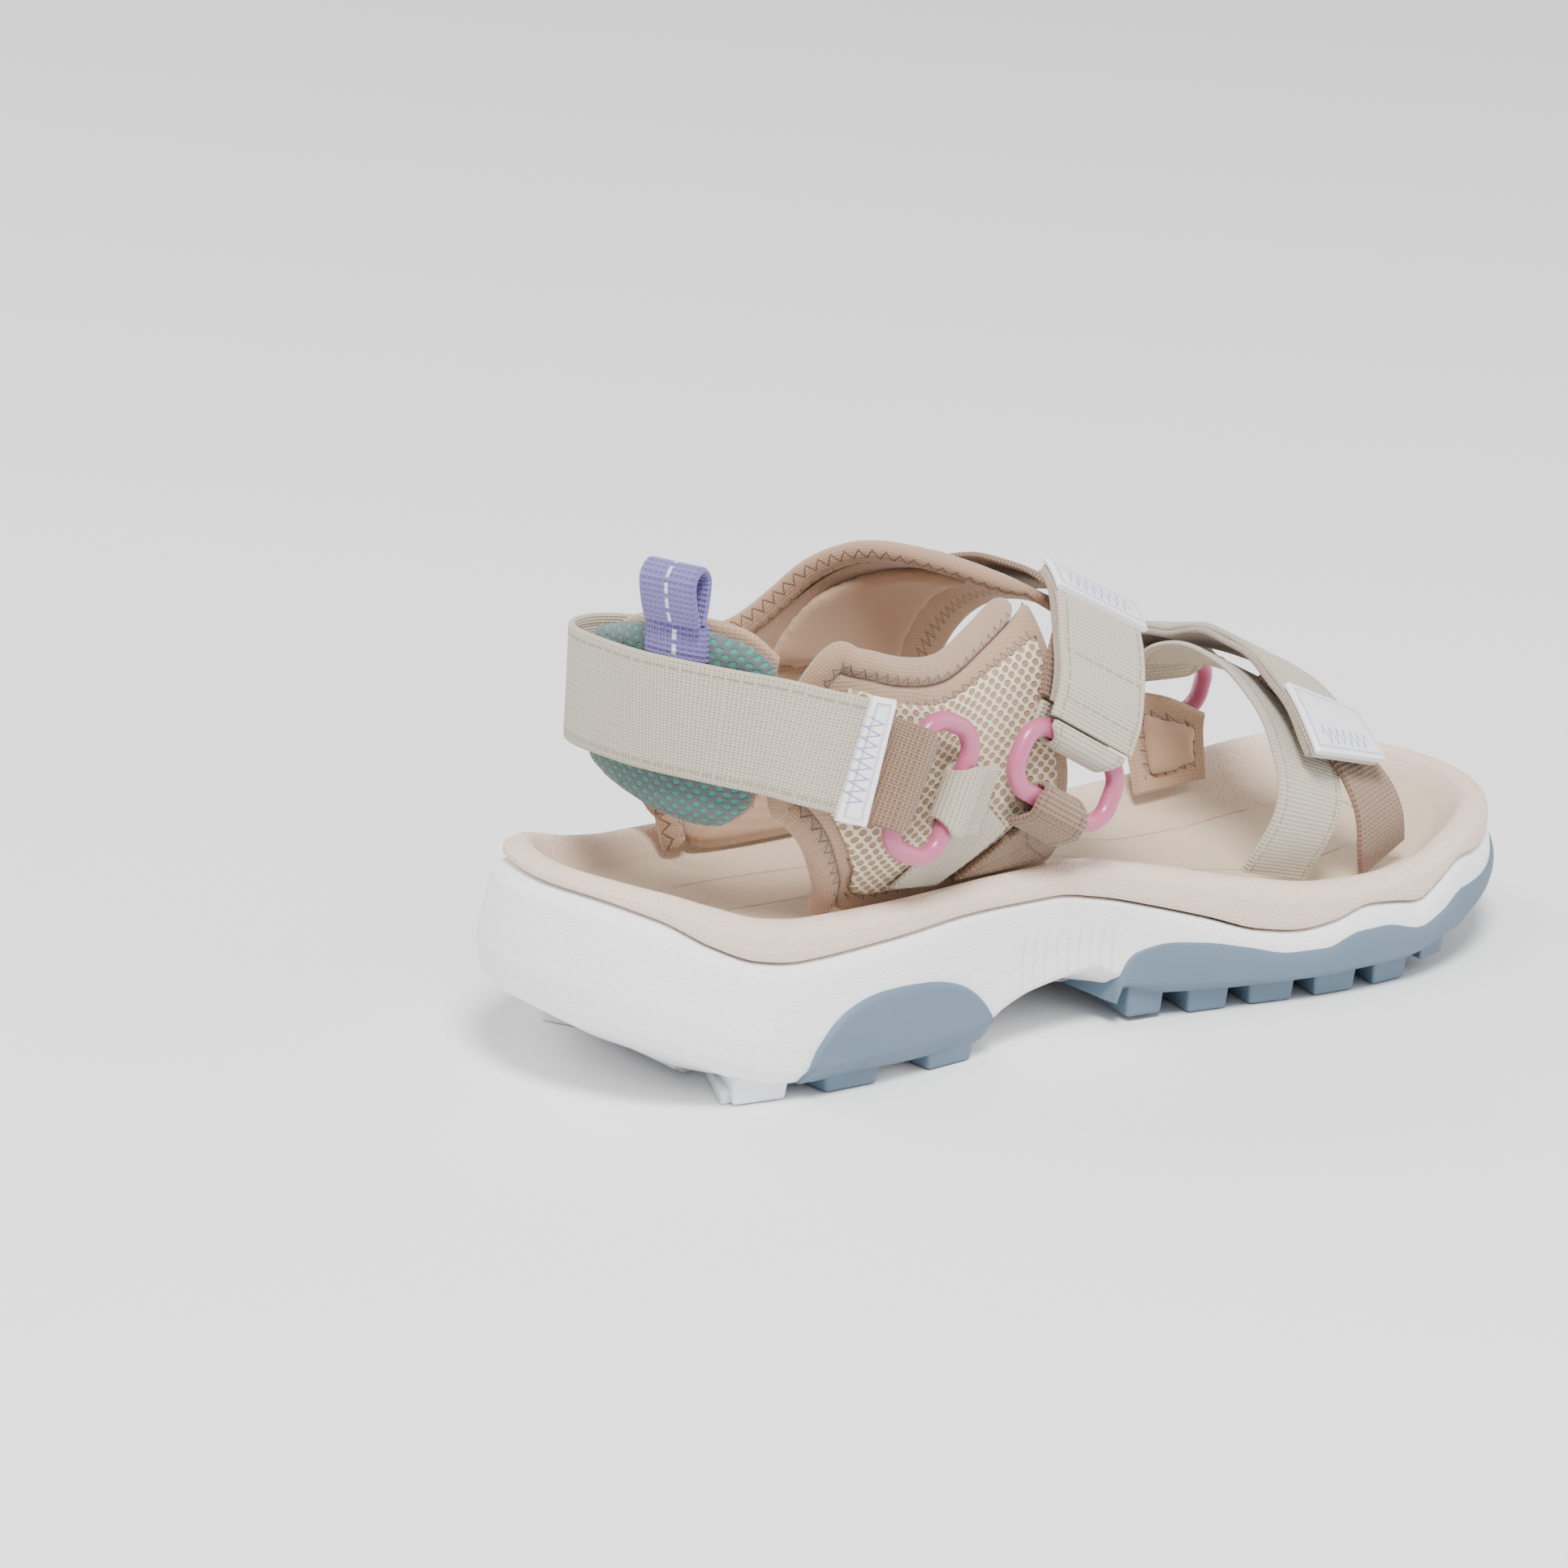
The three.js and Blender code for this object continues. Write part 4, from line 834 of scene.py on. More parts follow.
def webbing(name, color, shade, rib=0.95, edge=True, centre=None, rows=(), cross=False, depth=0.16, thread=None):
    look = Look(name, color, 0.82, sheen=0.25)
    u, v = look.uv()
    border, _ = look.uv("Edge")
    weft = look.wave(u, rib)
    warp = look.wave(v, 0.62, 0.8)
    half = look.wave(v, 1.24)
    weave = look.add(look.times(weft, 0.65), look.times(look.math("ABSOLUTE", look.math("SUBTRACT", half, weft)), 0.35))
    look.tint(look.times(look.math("SUBTRACT", 1.0, weave), 0.95), shade)
    look.tint(look.times(look.math("SUBTRACT", 1.0, warp), 0.4), shade)
    look.tint(look.times(look.near(border, 0, 0.35, 0.3), 0.35), shade)
    wear(look, shade, 0.3)
    look.raise_by(depth * 2.2, weave)
    look.raise_by(depth * 1.2, warp)
    look.raise_by(0.03, look.noise(1.2, 3))
    seams = []
    if edge:
        seams.append(look.times(look.near(border, 2.0, 0.22), look.dashes(u, 2.3, 0.7)))
    if centre:
        seams.append(look.times(look.near(v, 0.0, 0.32), look.dashes(u, 2.2, 0.9)))
    for row in rows:
        inside = look.math("GREATER_THAN", border, 1.8)
        line = look.times(look.near(u, row, 0.22), look.dashes(v, 2.3, 0.7))
        seams.append(look.times(line, inside))
    if cross:
        s, t = look.uv("Face")
        box = look.near(border, 1.5, 0.22)
        rise = look.near(look.math("SUBTRACT", s, t), 0.0, 0.012, 0.01)
        fall = look.near(look.add(s, t), 1.0, 0.012, 0.01)
        inside = look.math("GREATER_THAN", border, 1.5)
        cross_line = look.times(look.math("MAXIMUM", rise, fall), inside)
        seams.append(look.times(look.math("MAXIMUM", box, cross_line), look.dashes(look.add(u, v), 2.0, 0.7)))
    for seam in seams:
        look.tint(look.times(seam, 0.95), thread or shade)
        look.raise_by(0.35, seam)
    return look.finish()


def knit(name, color, shade, pitch=0.9, rough=0.95):
    """The smooth knitted face of a neoprene lining."""
    look = Look(name, color, rough, sheen=0.5)
    u, v = look.uv()
    columns = look.wave(look.add(u, look.times(look.wave(v, pitch), 0.15)), pitch * 0.8)
    rows = look.wave(v, pitch)
    look.tint(look.times(look.math("SUBTRACT", 1.0, look.times(columns, rows)), 0.5), shade)
    wear(look, shade, 0.35)
    look.raise_by(0.14, look.times(columns, rows))
    look.raise_by(0.12, look.noise(0.22, 3))
    return look


def foam_look(name, color, shade, rough, grain=0.5):
    look = Look(name, color, rough, subsurface=0.08)
    cells = look.cells(1.05)
    fine = look.noise(2.6, 3)
    look.raise_by(0.22 * grain, look.math("MINIMUM", look.times(cells, 2.5), 0.6))
    look.raise_by(0.10 * grain, fine)
    look.tint(look.times(look.math("SUBTRACT", 1.0, look.math("MINIMUM", look.times(cells, 6.0), 1.0)), 0.10 * grain), shade)
    wear(look, shade, 0.12, 0.03)
    return look


def footbed_look():
    look = foam_look("footbed foam", "EBD3C3", "CFAF9C", 0.75, 1.2)
    inset, _ = look.uv("Edge")
    look.tint(look.times(look.ramp(inset, 6.5, 10.5), 0.9), "D3BCA2")
    return look.finish()


def midsole_look():
    look = foam_look("midsole foam", "FCFCFE", "E4E6EC", 0.6, 0.9)
    x, z = look.uv()
    arch = look.times(look.near(x, 112, 13, 3), look.near(z, 17, 6, 3))
    look.raise_by(0.6, look.times(arch, look.wave(x, 3.1)))
    return look.finish()


def rubber_look(name="slate rubber", color="64788A", shade="465866"):
    look = Look(name, color, 0.62)
    look.raise_by(0.05, look.cells(0.8))
    look.raise_by(0.05, look.noise(3.0, 2))
    wear(look, shade, 0.35, 0.06)
    return look.finish()


def tread_look():
    look = Look("clear rubber", "F1F2F6", 0.45, subsurface=0.2)
    look.raise_by(0.04, look.noise(2.0, 2))
    wear(look, "D6D8E0", 0.25, 0.08)
    return look.finish()


def air_mesh_look():
    """An open knit of cream yarn with oval holes, over tan lining."""
    look = Look("cream air mesh", "F2E2C6", 0.85, sheen=0.2)
    u, v = look.uv()
    pitch_u, pitch_v = 3.0, 2.7

    def row(shift):
        du = look.math("PINGPONG", look.add(u, 500 + shift * pitch_u / 2), pitch_u / 2)
        dv = look.math("PINGPONG", look.add(v, 500 + shift * pitch_v / 2), pitch_v / 2)
        a = look.math("POWER", look.times(look.math("SUBTRACT", pitch_u / 2, du), 1 / 0.84), 2.0)
        b = look.math("POWER", look.times(look.math("SUBTRACT", pitch_v / 2, dv), 1 / 0.62), 2.0)
        return look.add(a, b)

    away = look.math("MINIMUM", row(0), row(1))
    hole = look.near(away, 0.0, 0.75, 0.5)
    look.tint(hole, "96724C")
    look.tint(look.times(look.noise(1.2, 3), 0.18), "D9C6A8")
    wear(look, "E0CFB4", 0.3)
    look.raise_by(-0.5, hole)
    look.raise_by(0.1, look.wave(look.add(u, v), 0.5))
    return look.finish(1.0)


def spacer_look():
    """A grey spacer knit with staggered oval holes that show teal, round the back of the heel."""
    look = Look("grey spacer mesh", "5A6565", 0.85, sheen=0.3)
    _, (x, y, z) = look.place()
    cx, cy = HEEL_FRONT + SHIFT.x, SHIFT.y - 1
    turn = look.math("ARCTAN2", look.math("SUBTRACT", y, cy), look.math("SUBTRACT", cx, x))
    around = look.times(turn, 36.0)
    pitch_u, pitch_v = 3.0, 2.5

    def row(shift):
        du = look.math("PINGPONG", look.add(around, 600 + shift * pitch_u / 2), pitch_u / 2)
        dv = look.math("PINGPONG", look.add(z, 500 + shift * pitch_v / 2), pitch_v / 2)
        a = look.math("POWER", look.times(look.math("SUBTRACT", pitch_u / 2, du), 1 / 0.78), 2.0)
        b = look.math("POWER", look.times(look.math("SUBTRACT", pitch_v / 2, dv), 1 / 0.5), 2.0)
        return look.add(a, b)

    away = look.math("MINIMUM", row(0), row(1))
    hole = look.near(away, 0.0, 0.7, 0.5)
    look.tint(look.times(look.wave(look.add(around, z), 0.55), 0.5), "3A4646")
    look.tint(hole, "089080")
    wear(look, "6E7877", 0.35)
    look.raise_by(-0.45, hole)
    look.raise_by(0.1, look.wave(look.add(around, z), 0.55))
    return look.finish(1.0)


def tape_look():
    """The fuzzy face of hook and loop tape."""
    look = Look("loop tape", "B59A84", 1.0, sheen=0.8)
    look.tint(look.noise(1.6, 4, rough=0.7), "8F755F")
    look.raise_by(0.9, look.noise(1.3, 4, rough=0.75))
    return look.finish(1.0)


def ring_look():
    look = Look("pink moulded plastic", "B85C80", 0.32, subsurface=0.15, coat=0.3)
    look.raise_by(0.02, look.noise(0.6, 2))
    wear(look, "B5617F", 0.35, 0.1)
    return look.finish()


def tab_look(name, share, zig=2.3):
    """A moulded end tab with a zigzag seam across it."""
    look = Look(name, "F3F3F8", 0.34, subsurface=0.15, coat=0.2)
    u, v = look.uv()
    s, t = look.uv("Face")
    border, end = look.uv("Edge")
    reach = look.times(look.zigzag(look.add(v, 100), zig), 1.9)
    line = look.near(look.math("SUBTRACT", look.math("SUBTRACT", u, share), reach), 0.0, 0.36, 0.2)
    inside = look.math("GREATER_THAN", border, 4.2)
    seam = look.times(line, inside)
    look.tint(seam, "8672CC")
    look.raise_by(0.25, seam)
    frame_line = look.near(look.math("MINIMUM", border, end), 0.0, 1.1, 0.25)
    look.raise_by(0.7, frame_line)
    # painted shade: a grey line at the foot of the raised frame, standing in for the shade in the step between the
    # frame and the face
    look.tint(look.times(look.near(look.math("MINIMUM", border, end), 1.5, 0.15, 0.3), 0.5), "B9B9C6")
    look.raise_by(0.02, look.noise(1.0, 2))
    wear(look, "E3E3EE", 0.3, 0.1)
    return look.finish()


def binding_look():
    look = knit("tan binding", "BC9A80", "8A684F", 0.8)
    u, a = look.uv()
    # the zigzag seam runs where the rolled edge meets the mesh
    line = look.near(look.math("SUBTRACT", look.add(a, 2.2), look.times(look.zigzag(look.add(u, 50), 3.0), 1.25)), 0.0, 0.2, 0.2)
    inner = look.near(look.math("SUBTRACT", look.math("SUBTRACT", look.math("ABSOLUTE", a), 6.6), look.times(look.zigzag(look.add(u, 50), 3.0), 1.25)), 0.0, 0.2, 0.2)
    seam = look.math("MAXIMUM", line, inner)
    look.tint(look.times(seam, 0.95), "6B4C36")
    look.raise_by(0.3, seam)
    return look.finish()


def lining_look():
    look = knit("tan lining", "BF9E84", "94745B", 0.9)
    border, _ = look.uv("Edge")
    u, v = look.uv()
    line = look.near(look.math("SUBTRACT", border, look.math("MULTIPLY_ADD", look.zigzag(look.add(look.add(u, v), 100), 3.0), 1.0, 4.4)), 0.0, 0.16, 0.2)
    look.tint(look.times(line, 0.85), "6B4C36")
    look.raise_by(0.2, line)
    return look.finish()


def pad_lining_look():
    look = knit("tan pad lining", "BF9E84", "94745B", 0.9)
    return look.finish()


CREAM = webbing("cream webbing", "E2DBCB", "A89C86", 0.9)
CREAM_ROWS = webbing("cream webbing with rows", "E2DBCB", "A89C86", 0.9, rows=(22, 33))
CREAM_PLAIN = webbing("cream webbing without seams", "DFD7C6", "A3967F", 0.95, edge=False)
TAN = webbing("tan webbing", "B0907A", "75573F", 1.05, edge=False, depth=0.24)
TAN_EDGE = webbing("tan webbing with edge seams", "B0907A", "75573F", 1.05, depth=0.24)
TAN_PATCH = webbing("tan patch", "AA8A70", "6B4E36", 0.8, edge=False, cross=True)
LILAC = webbing("lilac webbing", "9388C8", "5F5296", 1.15, edge=False, centre=True, depth=0.3, thread="F5F3FA")
BINDING_SKIN, LINING_SKIN, PAD_LINING = binding_look(), lining_look(), pad_lining_look()
AIR, SPACER, FUZZ, RINGS = air_mesh_look(), spacer_look(), tape_look(), ring_look()
FOOTBED, MIDSOLE, RUBBER, CLEAR = footbed_look(), midsole_look(), rubber_look(), tread_look()


def wear_on(obj, material):
    obj.data.materials.clear()
    obj.data.materials.append(material)
    return obj


# ---------------------------------------------------------------- sole pieces

wear_on(sole_ring("footbed_made", footbed_profile, "footbed", ROUND, True), FOOTBED)
wear_on(sole_ring("midsole_made", midsole_profile, "midsole", ROUND, True), MIDSOLE)
first = math.acos(1 - 2 * 126.6 / LENGTH)
front_angles = [mix(first, 2 * math.pi - first, i / 260) for i in range(261)]
outsole = sole_ring("forefoot_outsole_made", outsole_profile, "forefoot_outsole", front_angles, False)
wear_on(outsole, RUBBER)

blocks = []
for x0, x1 in ((130, 140), (145, 156), (160, 172), (176, 188), (192, 203), (207, 217), (221, 230), (234, 242)):
    for side in (-1, 1):
        base = underside((x0 + x1) / 2)
        blocks.append(lug_points(side, x0, x1, 1.5, 15, base - TREAD, max(base, lower_edge(x0)) + 2.5, 3))
for x0 in (140, 158, 176, 194):
    blocks.append(lug_points(-1, x0, x0 + 9, 22, 34, underside(x0) - TREAD, underside(x0) + 1, 4))
wear_on(lugs("forefoot_lugs", blocks, "forefoot_outsole"), RUBBER)
for name, side in (("lateral", -1), ("medial", 1)):
    wear_on(heel_patch("heel_patch_" + name, side), RUBBER)
    blocks = [lug_points(side, x0, x1, 0.5, 9, 0, 5.5) for x0, x1 in ((47, 62), (74, 88))]
    wear_on(lugs("heel_lugs_" + name, blocks, "heel_patch_" + name), RUBBER)
corners = [lug_points(side, 25, 39.5, 0.9, 22, 0, 6.5) for side in (-1, 1)]
wear_on(lugs("heel_corner_lugs", corners, "heel_tread"), CLEAR)
tread = frame["nodes"]["heel_tread"]
wear_on(tread, CLEAR)
soften = tread.modifiers.new("Soften", "BEVEL")
soften.width, soften.segments, soften.limit_method = 0.0004, 2, "ANGLE"

# ---------------------------------------------------------------- the sides of the upper

QUARTER_LOW = [(43, 62), (49, 55), (56, 43), (60, 34.2), (86, 34.2), (114, 34)]
QUARTER_HIGH = [(49, 88), (57, 85.5), (66, 82.5), (79, 81), (93, 85), (110, 89.5)]
INSIDE_LOW = [(x, u_at(x, z)) for x, z in ((43, 62), (49, 55), (56, 43), (60, 34.2), (90, 34.2), (121, 33.6))]
INSIDE_HIGH = [(x, u_at(x, z)) for x, z in ((49, 76), (61, 75.5), (73, 75.5))]
INSIDE_HIGH += [(84, 0.53), (101, 0.06), (137, -0.34)]
FACE = LINING + 2 * GAP

wear_on(panel("quarter_lining_lateral", lateral, QUARTER_LOW, QUARTER_HIGH, 0, LINING, (110, 60)), LINING_SKIN)
trim = (2.2 / 20, 1 / 20, 0.7 / 7, 0.6 / 7)
wear_on(
    panel("quarter_mesh_lateral", lateral, QUARTER_LOW, QUARTER_HIGH, FACE - 0.4, QUARTER, (100, 50), trim, 0.6), AIR
)
wear_on(binding("quarter_binding_lateral", lateral, QUARTER_LOW, QUARTER_HIGH, 0.55, 0.94, 1), BINDING_SKIN)
wear_on(
    panel("quarter_lining_medial", over_foot, INSIDE_LOW, INSIDE_HIGH, 0, LINING, (130, 90)), LINING_SKIN
)
trim = (3 / 24, 2 / 24, 1 / 10, 6 / 10)
wear_on(
    panel("quarter_mesh_medial", over_foot, INSIDE_LOW, INSIDE_HIGH, FACE - 0.4, QUARTER, (100, 40), trim, 0.6), AIR
)
wear_on(binding("quarter_binding_medial", over_foot, INSIDE_LOW, INSIDE_HIGH, 0.55, 0.88, -1), BINDING_SKIN)

ON_QUARTER = QUARTER + 2 * GAP + WEB / 2
ON_WEBBING = ON_QUARTER + WEB + GAP
OUTER_LAYER = RING_OFFSET + FOLD
INNER_LAYER = RING_OFFSET - FOLD
heel_rings = {"lateral": ring_frame(lateral, 69, 62, 65), "medial": ring_frame(medial, 69, 62, 65)}
ankle_rings = {"lateral": ring_frame(lateral, 106, 58.5, -30), "medial": ring_frame(medial, 106, 60, -24)}


def anchor(node, surface, f, reach, aside, skin):
    aim = beside_bar(f, -1, reach, 0, aside)
    x, z, _ = place_of(surface, aim, (f["centre"].x, f["centre"].z))
    path = curve([
        off(surface, x, z, ON_WEBBING)[0],
        beside_bar(f, -1, reach / 2, 1, aside / 2),
        beside_bar(f, -1, 2.5, FOLD - 0.1),
    ])
    turn = fold(f, -1, 1, 2.5)
    run = [(path(i / 20), turn[0][1], 1) for i in range(20)]
    return wear_on(strap(node, run + turn, ANCHOR), skin)


for name, surface in (("lateral", lateral), ("medial", medial)):
    low, high = ON_QUARTER - WEB / 2, ON_QUARTER + WEB / 2
    slant = panel(
        "slant_strip_" + name, surface, [(80, 39.5), (88, 45.5), (94, 50.5)], [(67, 41), (76, 50), (85, 57.5)],
        low, high, (40, 24), radius=0.7,
    )
    wear_on(slant, CREAM_PLAIN)
    patch = panel(
        "anchor_patch_" + name, surface, [(84, 39.5), (110, 40)], [(101, 52.5), (114, 50)],
        low, high, (40, 24), radius=0.7,
    )
    wear_on(patch, TAN_PATCH)
    wear_on(ring("heel_ring_" + name, heel_rings[name]), RINGS)
    anchor("heel_anchor_" + name, surface, heel_rings[name], 10, 2, CREAM_PLAIN)
    wear_on(ring("ankle_ring_" + name, ankle_rings[name]), RINGS)
    anchor("ankle_anchor_" + name, surface, ankle_rings[name], 8, 2, TAN_EDGE)

# ---------------------------------------------------------------- pads

PAD_LOW = [(-0.82, 58.5), (-0.65, 54), (-0.4, 53.5), (0, 55.5), (0.48, 60)]
PAD_HIGH = [(-0.97, 90), (-0.75, 95), (-0.42, 96.5), (-0.02, 95), (0.48, 89)]
PAD_FACE = PAD - 1
ENLARGE = 8  # the cloth is simulated this many times too large, where its solver is steady


def puffed(obj, voxel, cap, pressure=4.0):
    """Blows a closed pad up a little as cloth, and keeps every point within cap millimetres."""
    mesh = obj.data
    for vertex in mesh.vertices:
        vertex.co *= ENLARGE
    remesh = obj.modifiers.new("Remesh", "REMESH")
    remesh.mode, remesh.voxel_size, remesh.use_smooth_shade = "VOXEL", voxel * MM * ENLARGE, True
    settle(obj)
    start = [v.co.copy() for v in obj.data.vertices]
    cloth = obj.modifiers.new("Cloth", "CLOTH")
    cloth.settings.use_pressure = True
    cloth.settings.uniform_pressure_force = pressure
    cloth.settings.effector_weights.gravity = 0
    cloth.settings.tension_stiffness = cloth.settings.compression_stiffness = 40
    cloth.point_cache.frame_start, cloth.point_cache.frame_end = 1, 20
    for step in range(1, 21):
        bpy.context.scene.frame_set(step)
    settle(obj)
    bpy.context.scene.frame_set(1)
    limit = cap * MM * ENLARGE
    for vertex, was in zip(obj.data.vertices, start):
        move = vertex.co - was
        if move.length > limit:
            vertex.co = was + move * (limit / move.length)
        vertex.co /= ENLARGE


def settle(obj):
    """Makes the object's modifiers part of its mesh."""
    graph = bpy.context.evaluated_depsgraph_get()
    mesh = bpy.data.meshes.new_from_object(obj.evaluated_get(graph))
    obj.modifiers.clear()
    obj.data = mesh
    mesh.shade_smooth()


def smoothed(obj, levels=1):
    ease = obj.modifiers.new("Ease", "SMOOTH")
    ease.factor, ease.iterations = 0.5, 3
    fine = obj.modifiers.new("Fine", "SUBSURF")
    fine.levels = fine.render_levels = levels
    settle(obj)


def pad(node, surface, low, high, inner, outer, steps, radius, voxel, cap, skin):
    points, faces, layers = sheet_points(surface, low, high, inner, outer, steps, radius=radius)
    obj = made(node + "_made", points, faces, layers, node)
    puffed(obj, voxel, cap)
    smoothed(obj)
    return wear_on(obj, skin)


heel_cushion = pad(
    "heel_pad", round_heel, PAD_LOW, PAD_HIGH, -0.4, PAD_FACE - 0.4, (70, 44), 5.0, 1.5, 1.0, SPACER
)
wear_on(
    panel("heel_pad_lining", round_heel, PAD_LOW, PAD_HIGH, -2.5, -0.8, (70, 40), radius=1.2), PAD_LINING
)
pad(
    "instep_pad", over_foot, [(78, 0.75), (92, 0.72), (112, 0.7)], [(86, 0.5), (100, 0.22), (118, 0.12)],
    -2.3, 0.1, (44, 34), 2.2, 1.2, 0.4, PAD_LINING,
)

# ---------------------------------------------------------------- heel straps

STRAP_ON_PAD = PAD_FACE + 3 * GAP + WEB * 1.5
HEEL_TOP, HEEL_TAB_X, HEEL_LOOSE = 78, 54.5, 0.3


def heel_run(lower):
    at_ring = beside_bar(heel_rings["medial"], 1, 2.5, FOLD - 0.1)
    turn, z, distance = place_of(round_heel, at_ring, (turn_at(62, 1), 68))
    return [
        (turn_at(HEEL_TAB_X, -1), 71, STRAP_ON_PAD + 2.2 - lower),
        (turn_at(46, -1), 74.2, STRAP_ON_PAD + 1.4 - lower),
        (-0.8, 77, STRAP_ON_PAD - lower),
        (-0.4, HEEL_TOP, STRAP_ON_PAD - lower),
        (0, HEEL_TOP - 0.5, STRAP_ON_PAD - lower),
        (0.4, 76, STRAP_ON_PAD - lower),
        (0.8, 73.6, STRAP_ON_PAD - lower),
        (turn_at(50, 1), 69.8, mix(STRAP_ON_PAD, OUTER_LAYER, 0.6) - lower),
        (turn, z, distance - lower),
    ]


run = laid(round_heel, heel_run(0), 130, HEEL_LOOSE, 1)
run = turning(run, heel_rings["medial"]["along"], 0.3) + fold(heel_rings["medial"], 1, 1, 9)
wear_on(strap("heel_strap", run, STRAP - 0.5, ripple=0), CREAM)
loose = laid(round_heel, heel_run(0), 70, 0, HEEL_LOOSE)
wear_on(strap("heel_strap_flap", loose, STRAP - 0.5, ripple=0), CREAM)
under = laid(round_heel, heel_run(WEB / 2 + GAP / 2 + TAPE / 2), 40, 0.03, 0.14)
wear_on(strap("heel_flap_hook_tape", under, STRAP - 1.2, TAPE + 0.3, ripple=0), FUZZ)
over = laid(round_heel, heel_run(-WEB / 2 - TAB / 2), 24, -0.002, 0.06)
wear_on(strap("heel_flap_tab", over, STRAP + 1.5, TAB, ripple=0), tab_look("heel tab", 4.0))


def heel_tail():
    f = heel_rings["lateral"]
    guess = (f["centre"].x, f["centre"].z)
    places = [
        (46, 74.5, ON_WEBBING),
        (52, 71.5, ON_WEBBING),
        place_of(lateral, beside_bar(f, 1, 7, 0.3), guess),
        place_of(lateral, beside_bar(f, 1, 2.5, FOLD - 0.2), guess),
    ]
    return turning(laid(lateral, places, 40), f["along"], 0.6) + fold(f, 1, 1, 10)


wear_on(strap("heel_strap_tail", heel_tail(), STRAP - 3), TAN)

PULL_Z, PULL_TOP, PULL_TURN = 97.5, 109, -0.35


def pull_loop():
    near, far = PAD_FACE + GAP + WEB / 2, PAD_FACE + 2 * GAP + WEB * 1.5
    places = [
        (far, PULL_Z), (far + 1.4, PULL_Z + 4), (far + 1.8, PULL_TOP - 2), (mix(near, far, 0.5), PULL_TOP),
        (near - 1.6, PULL_TOP - 2), (near - 1.2, PULL_Z + 4), (near, PULL_Z),
    ]
    point, outward = off(round_heel, PULL_TURN, 90)
    outward.z = 0
    outward.normalize()
    width = Vector((0, 0, 1)).cross(outward)
    points = []
    for d, z in places:
        p = point + outward * d
        p.z = z
        points.append(p)
    path = curve(points)
    return [(path(i / 80), width, 1) for i in range(81)]


wear_on(strap("pull_loop", pull_loop(), PULL), LILAC)


def pull_base():
    low, high = [[(PULL_TURN - 0.205, z), (PULL_TURN + 0.205, z)] for z in (74, 97.4)]
    steps = (30, 40)
    points, faces, layers = sheet_points(
        round_heel, low, high, PAD_FACE - 0.2, PAD_FACE + GAP + WEB, steps, radius=0.7
    )
    layers["UVMap"] = [(v, (s - 0.5) * PULL) for (s, t), (u, v) in zip(layers["Face"], layers["UVMap"])]
    return made("pull_loop_end_made", points, faces, layers, "pull_loop_end")


wear_on(pull_base(), LILAC)

# ---------------------------------------------------------------- ankle straps

UNDER_STRAP = INNER_LAYER + 0.3
ANKLE_LAYER = UNDER_STRAP + WEB + TAPE + 3 * GAP


def near_lateral(away, out):
    return place_of(over_foot, beside_bar(ankle_rings["lateral"], 1, away, out), (110, -0.7))


def ankle_under():
    beside = near_lateral(12, -FOLD)
    places = [
        near_lateral(6, -FOLD),
        (beside[0], beside[1], INNER_LAYER),
        (121, -0.42, UNDER_STRAP),
        (127, -0.2, UNDER_STRAP),
        (128, 0.05, UNDER_STRAP),
        (125, 0.32, UNDER_STRAP + 0.6),
        (118, 0.54, UNDER_STRAP + 3),
        place_of(over_foot, beside_bar(ankle_rings["medial"], 1, 3, FOLD - 0.1), (108, 0.7)),
    ]
    run = laid(over_foot, places, 130)
    start = turning(run[::-1], ankle_rings["lateral"]["along"], 0.3)
    end = turning(start[::-1], ankle_rings["medial"]["along"], 0.3)
    return end + fold(ankle_rings["medial"], 1, 1.2, 9)


def ankle_run(lower, fine=6):
    places = [(123, -0.2, ANKLE_LAYER), (121, -0.34, ANKLE_LAYER), (118, -0.5, ANKLE_LAYER)]
    places += [near_lateral(9, FOLD - 0.8), near_lateral(2.1, FOLD)]
    places = [(x, u, d - lower) for x, u, d in places]
    return turning(laid(over_foot, places, 14 * fine), ankle_rings["lateral"]["along"], 0.6)


wear_on(strap("ankle_strap", ankle_under(), STRAP - 1), TAN_EDGE)
wear_on(strap("ankle_strap_fold", fold(ankle_rings["lateral"], 1, 1.5, 5), STRAP - 3), CREAM)
wear_on(strap("ankle_strap_flap", ankle_run(0), STRAP), CREAM_ROWS)
under = ankle_run(WEB / 2 + GAP / 2 + TAPE / 2)[1:76]
wear_on(strap("ankle_flap_hook_tape", under, STRAP + 0.7, TAPE + 0.5, ripple=0.25), FUZZ)
over = ankle_run(-WEB / 2 - TAB / 2)[0:19]
wear_on(strap("ankle_flap_tab", over, STRAP + 1.5, TAB, ripple=0), tab_look("ankle tab", 4.4))

# ---------------------------------------------------------------- toe straps

TOE_BASE, TOE_STRAP = 3.6, 2.2
toe_ring_frame = ring_frame(medial, 199, 41, 0)
TOE_LAYER = TOE_STRAP + 2 * WEB + TAPE + 7 * GAP


def near_toe(away, out):
    return place_of(over_foot, beside_bar(toe_ring_frame, 1, away, out), (200, 0.5))


def toe_run(lower, fine=6):
    places = [(186, -0.6, TOE_LAYER), (187.5, -0.36, TOE_LAYER), (190.5, -0.08, TOE_LAYER), (195, 0.18, TOE_LAYER)]
    places += [near_toe(8, FOLD - 0.8), near_toe(2.1, FOLD)]
    places = [(x, u, d - lower) for x, u, d in places]
    return turning(laid(over_foot, places, 18 * fine), toe_ring_frame["along"], 0.5)


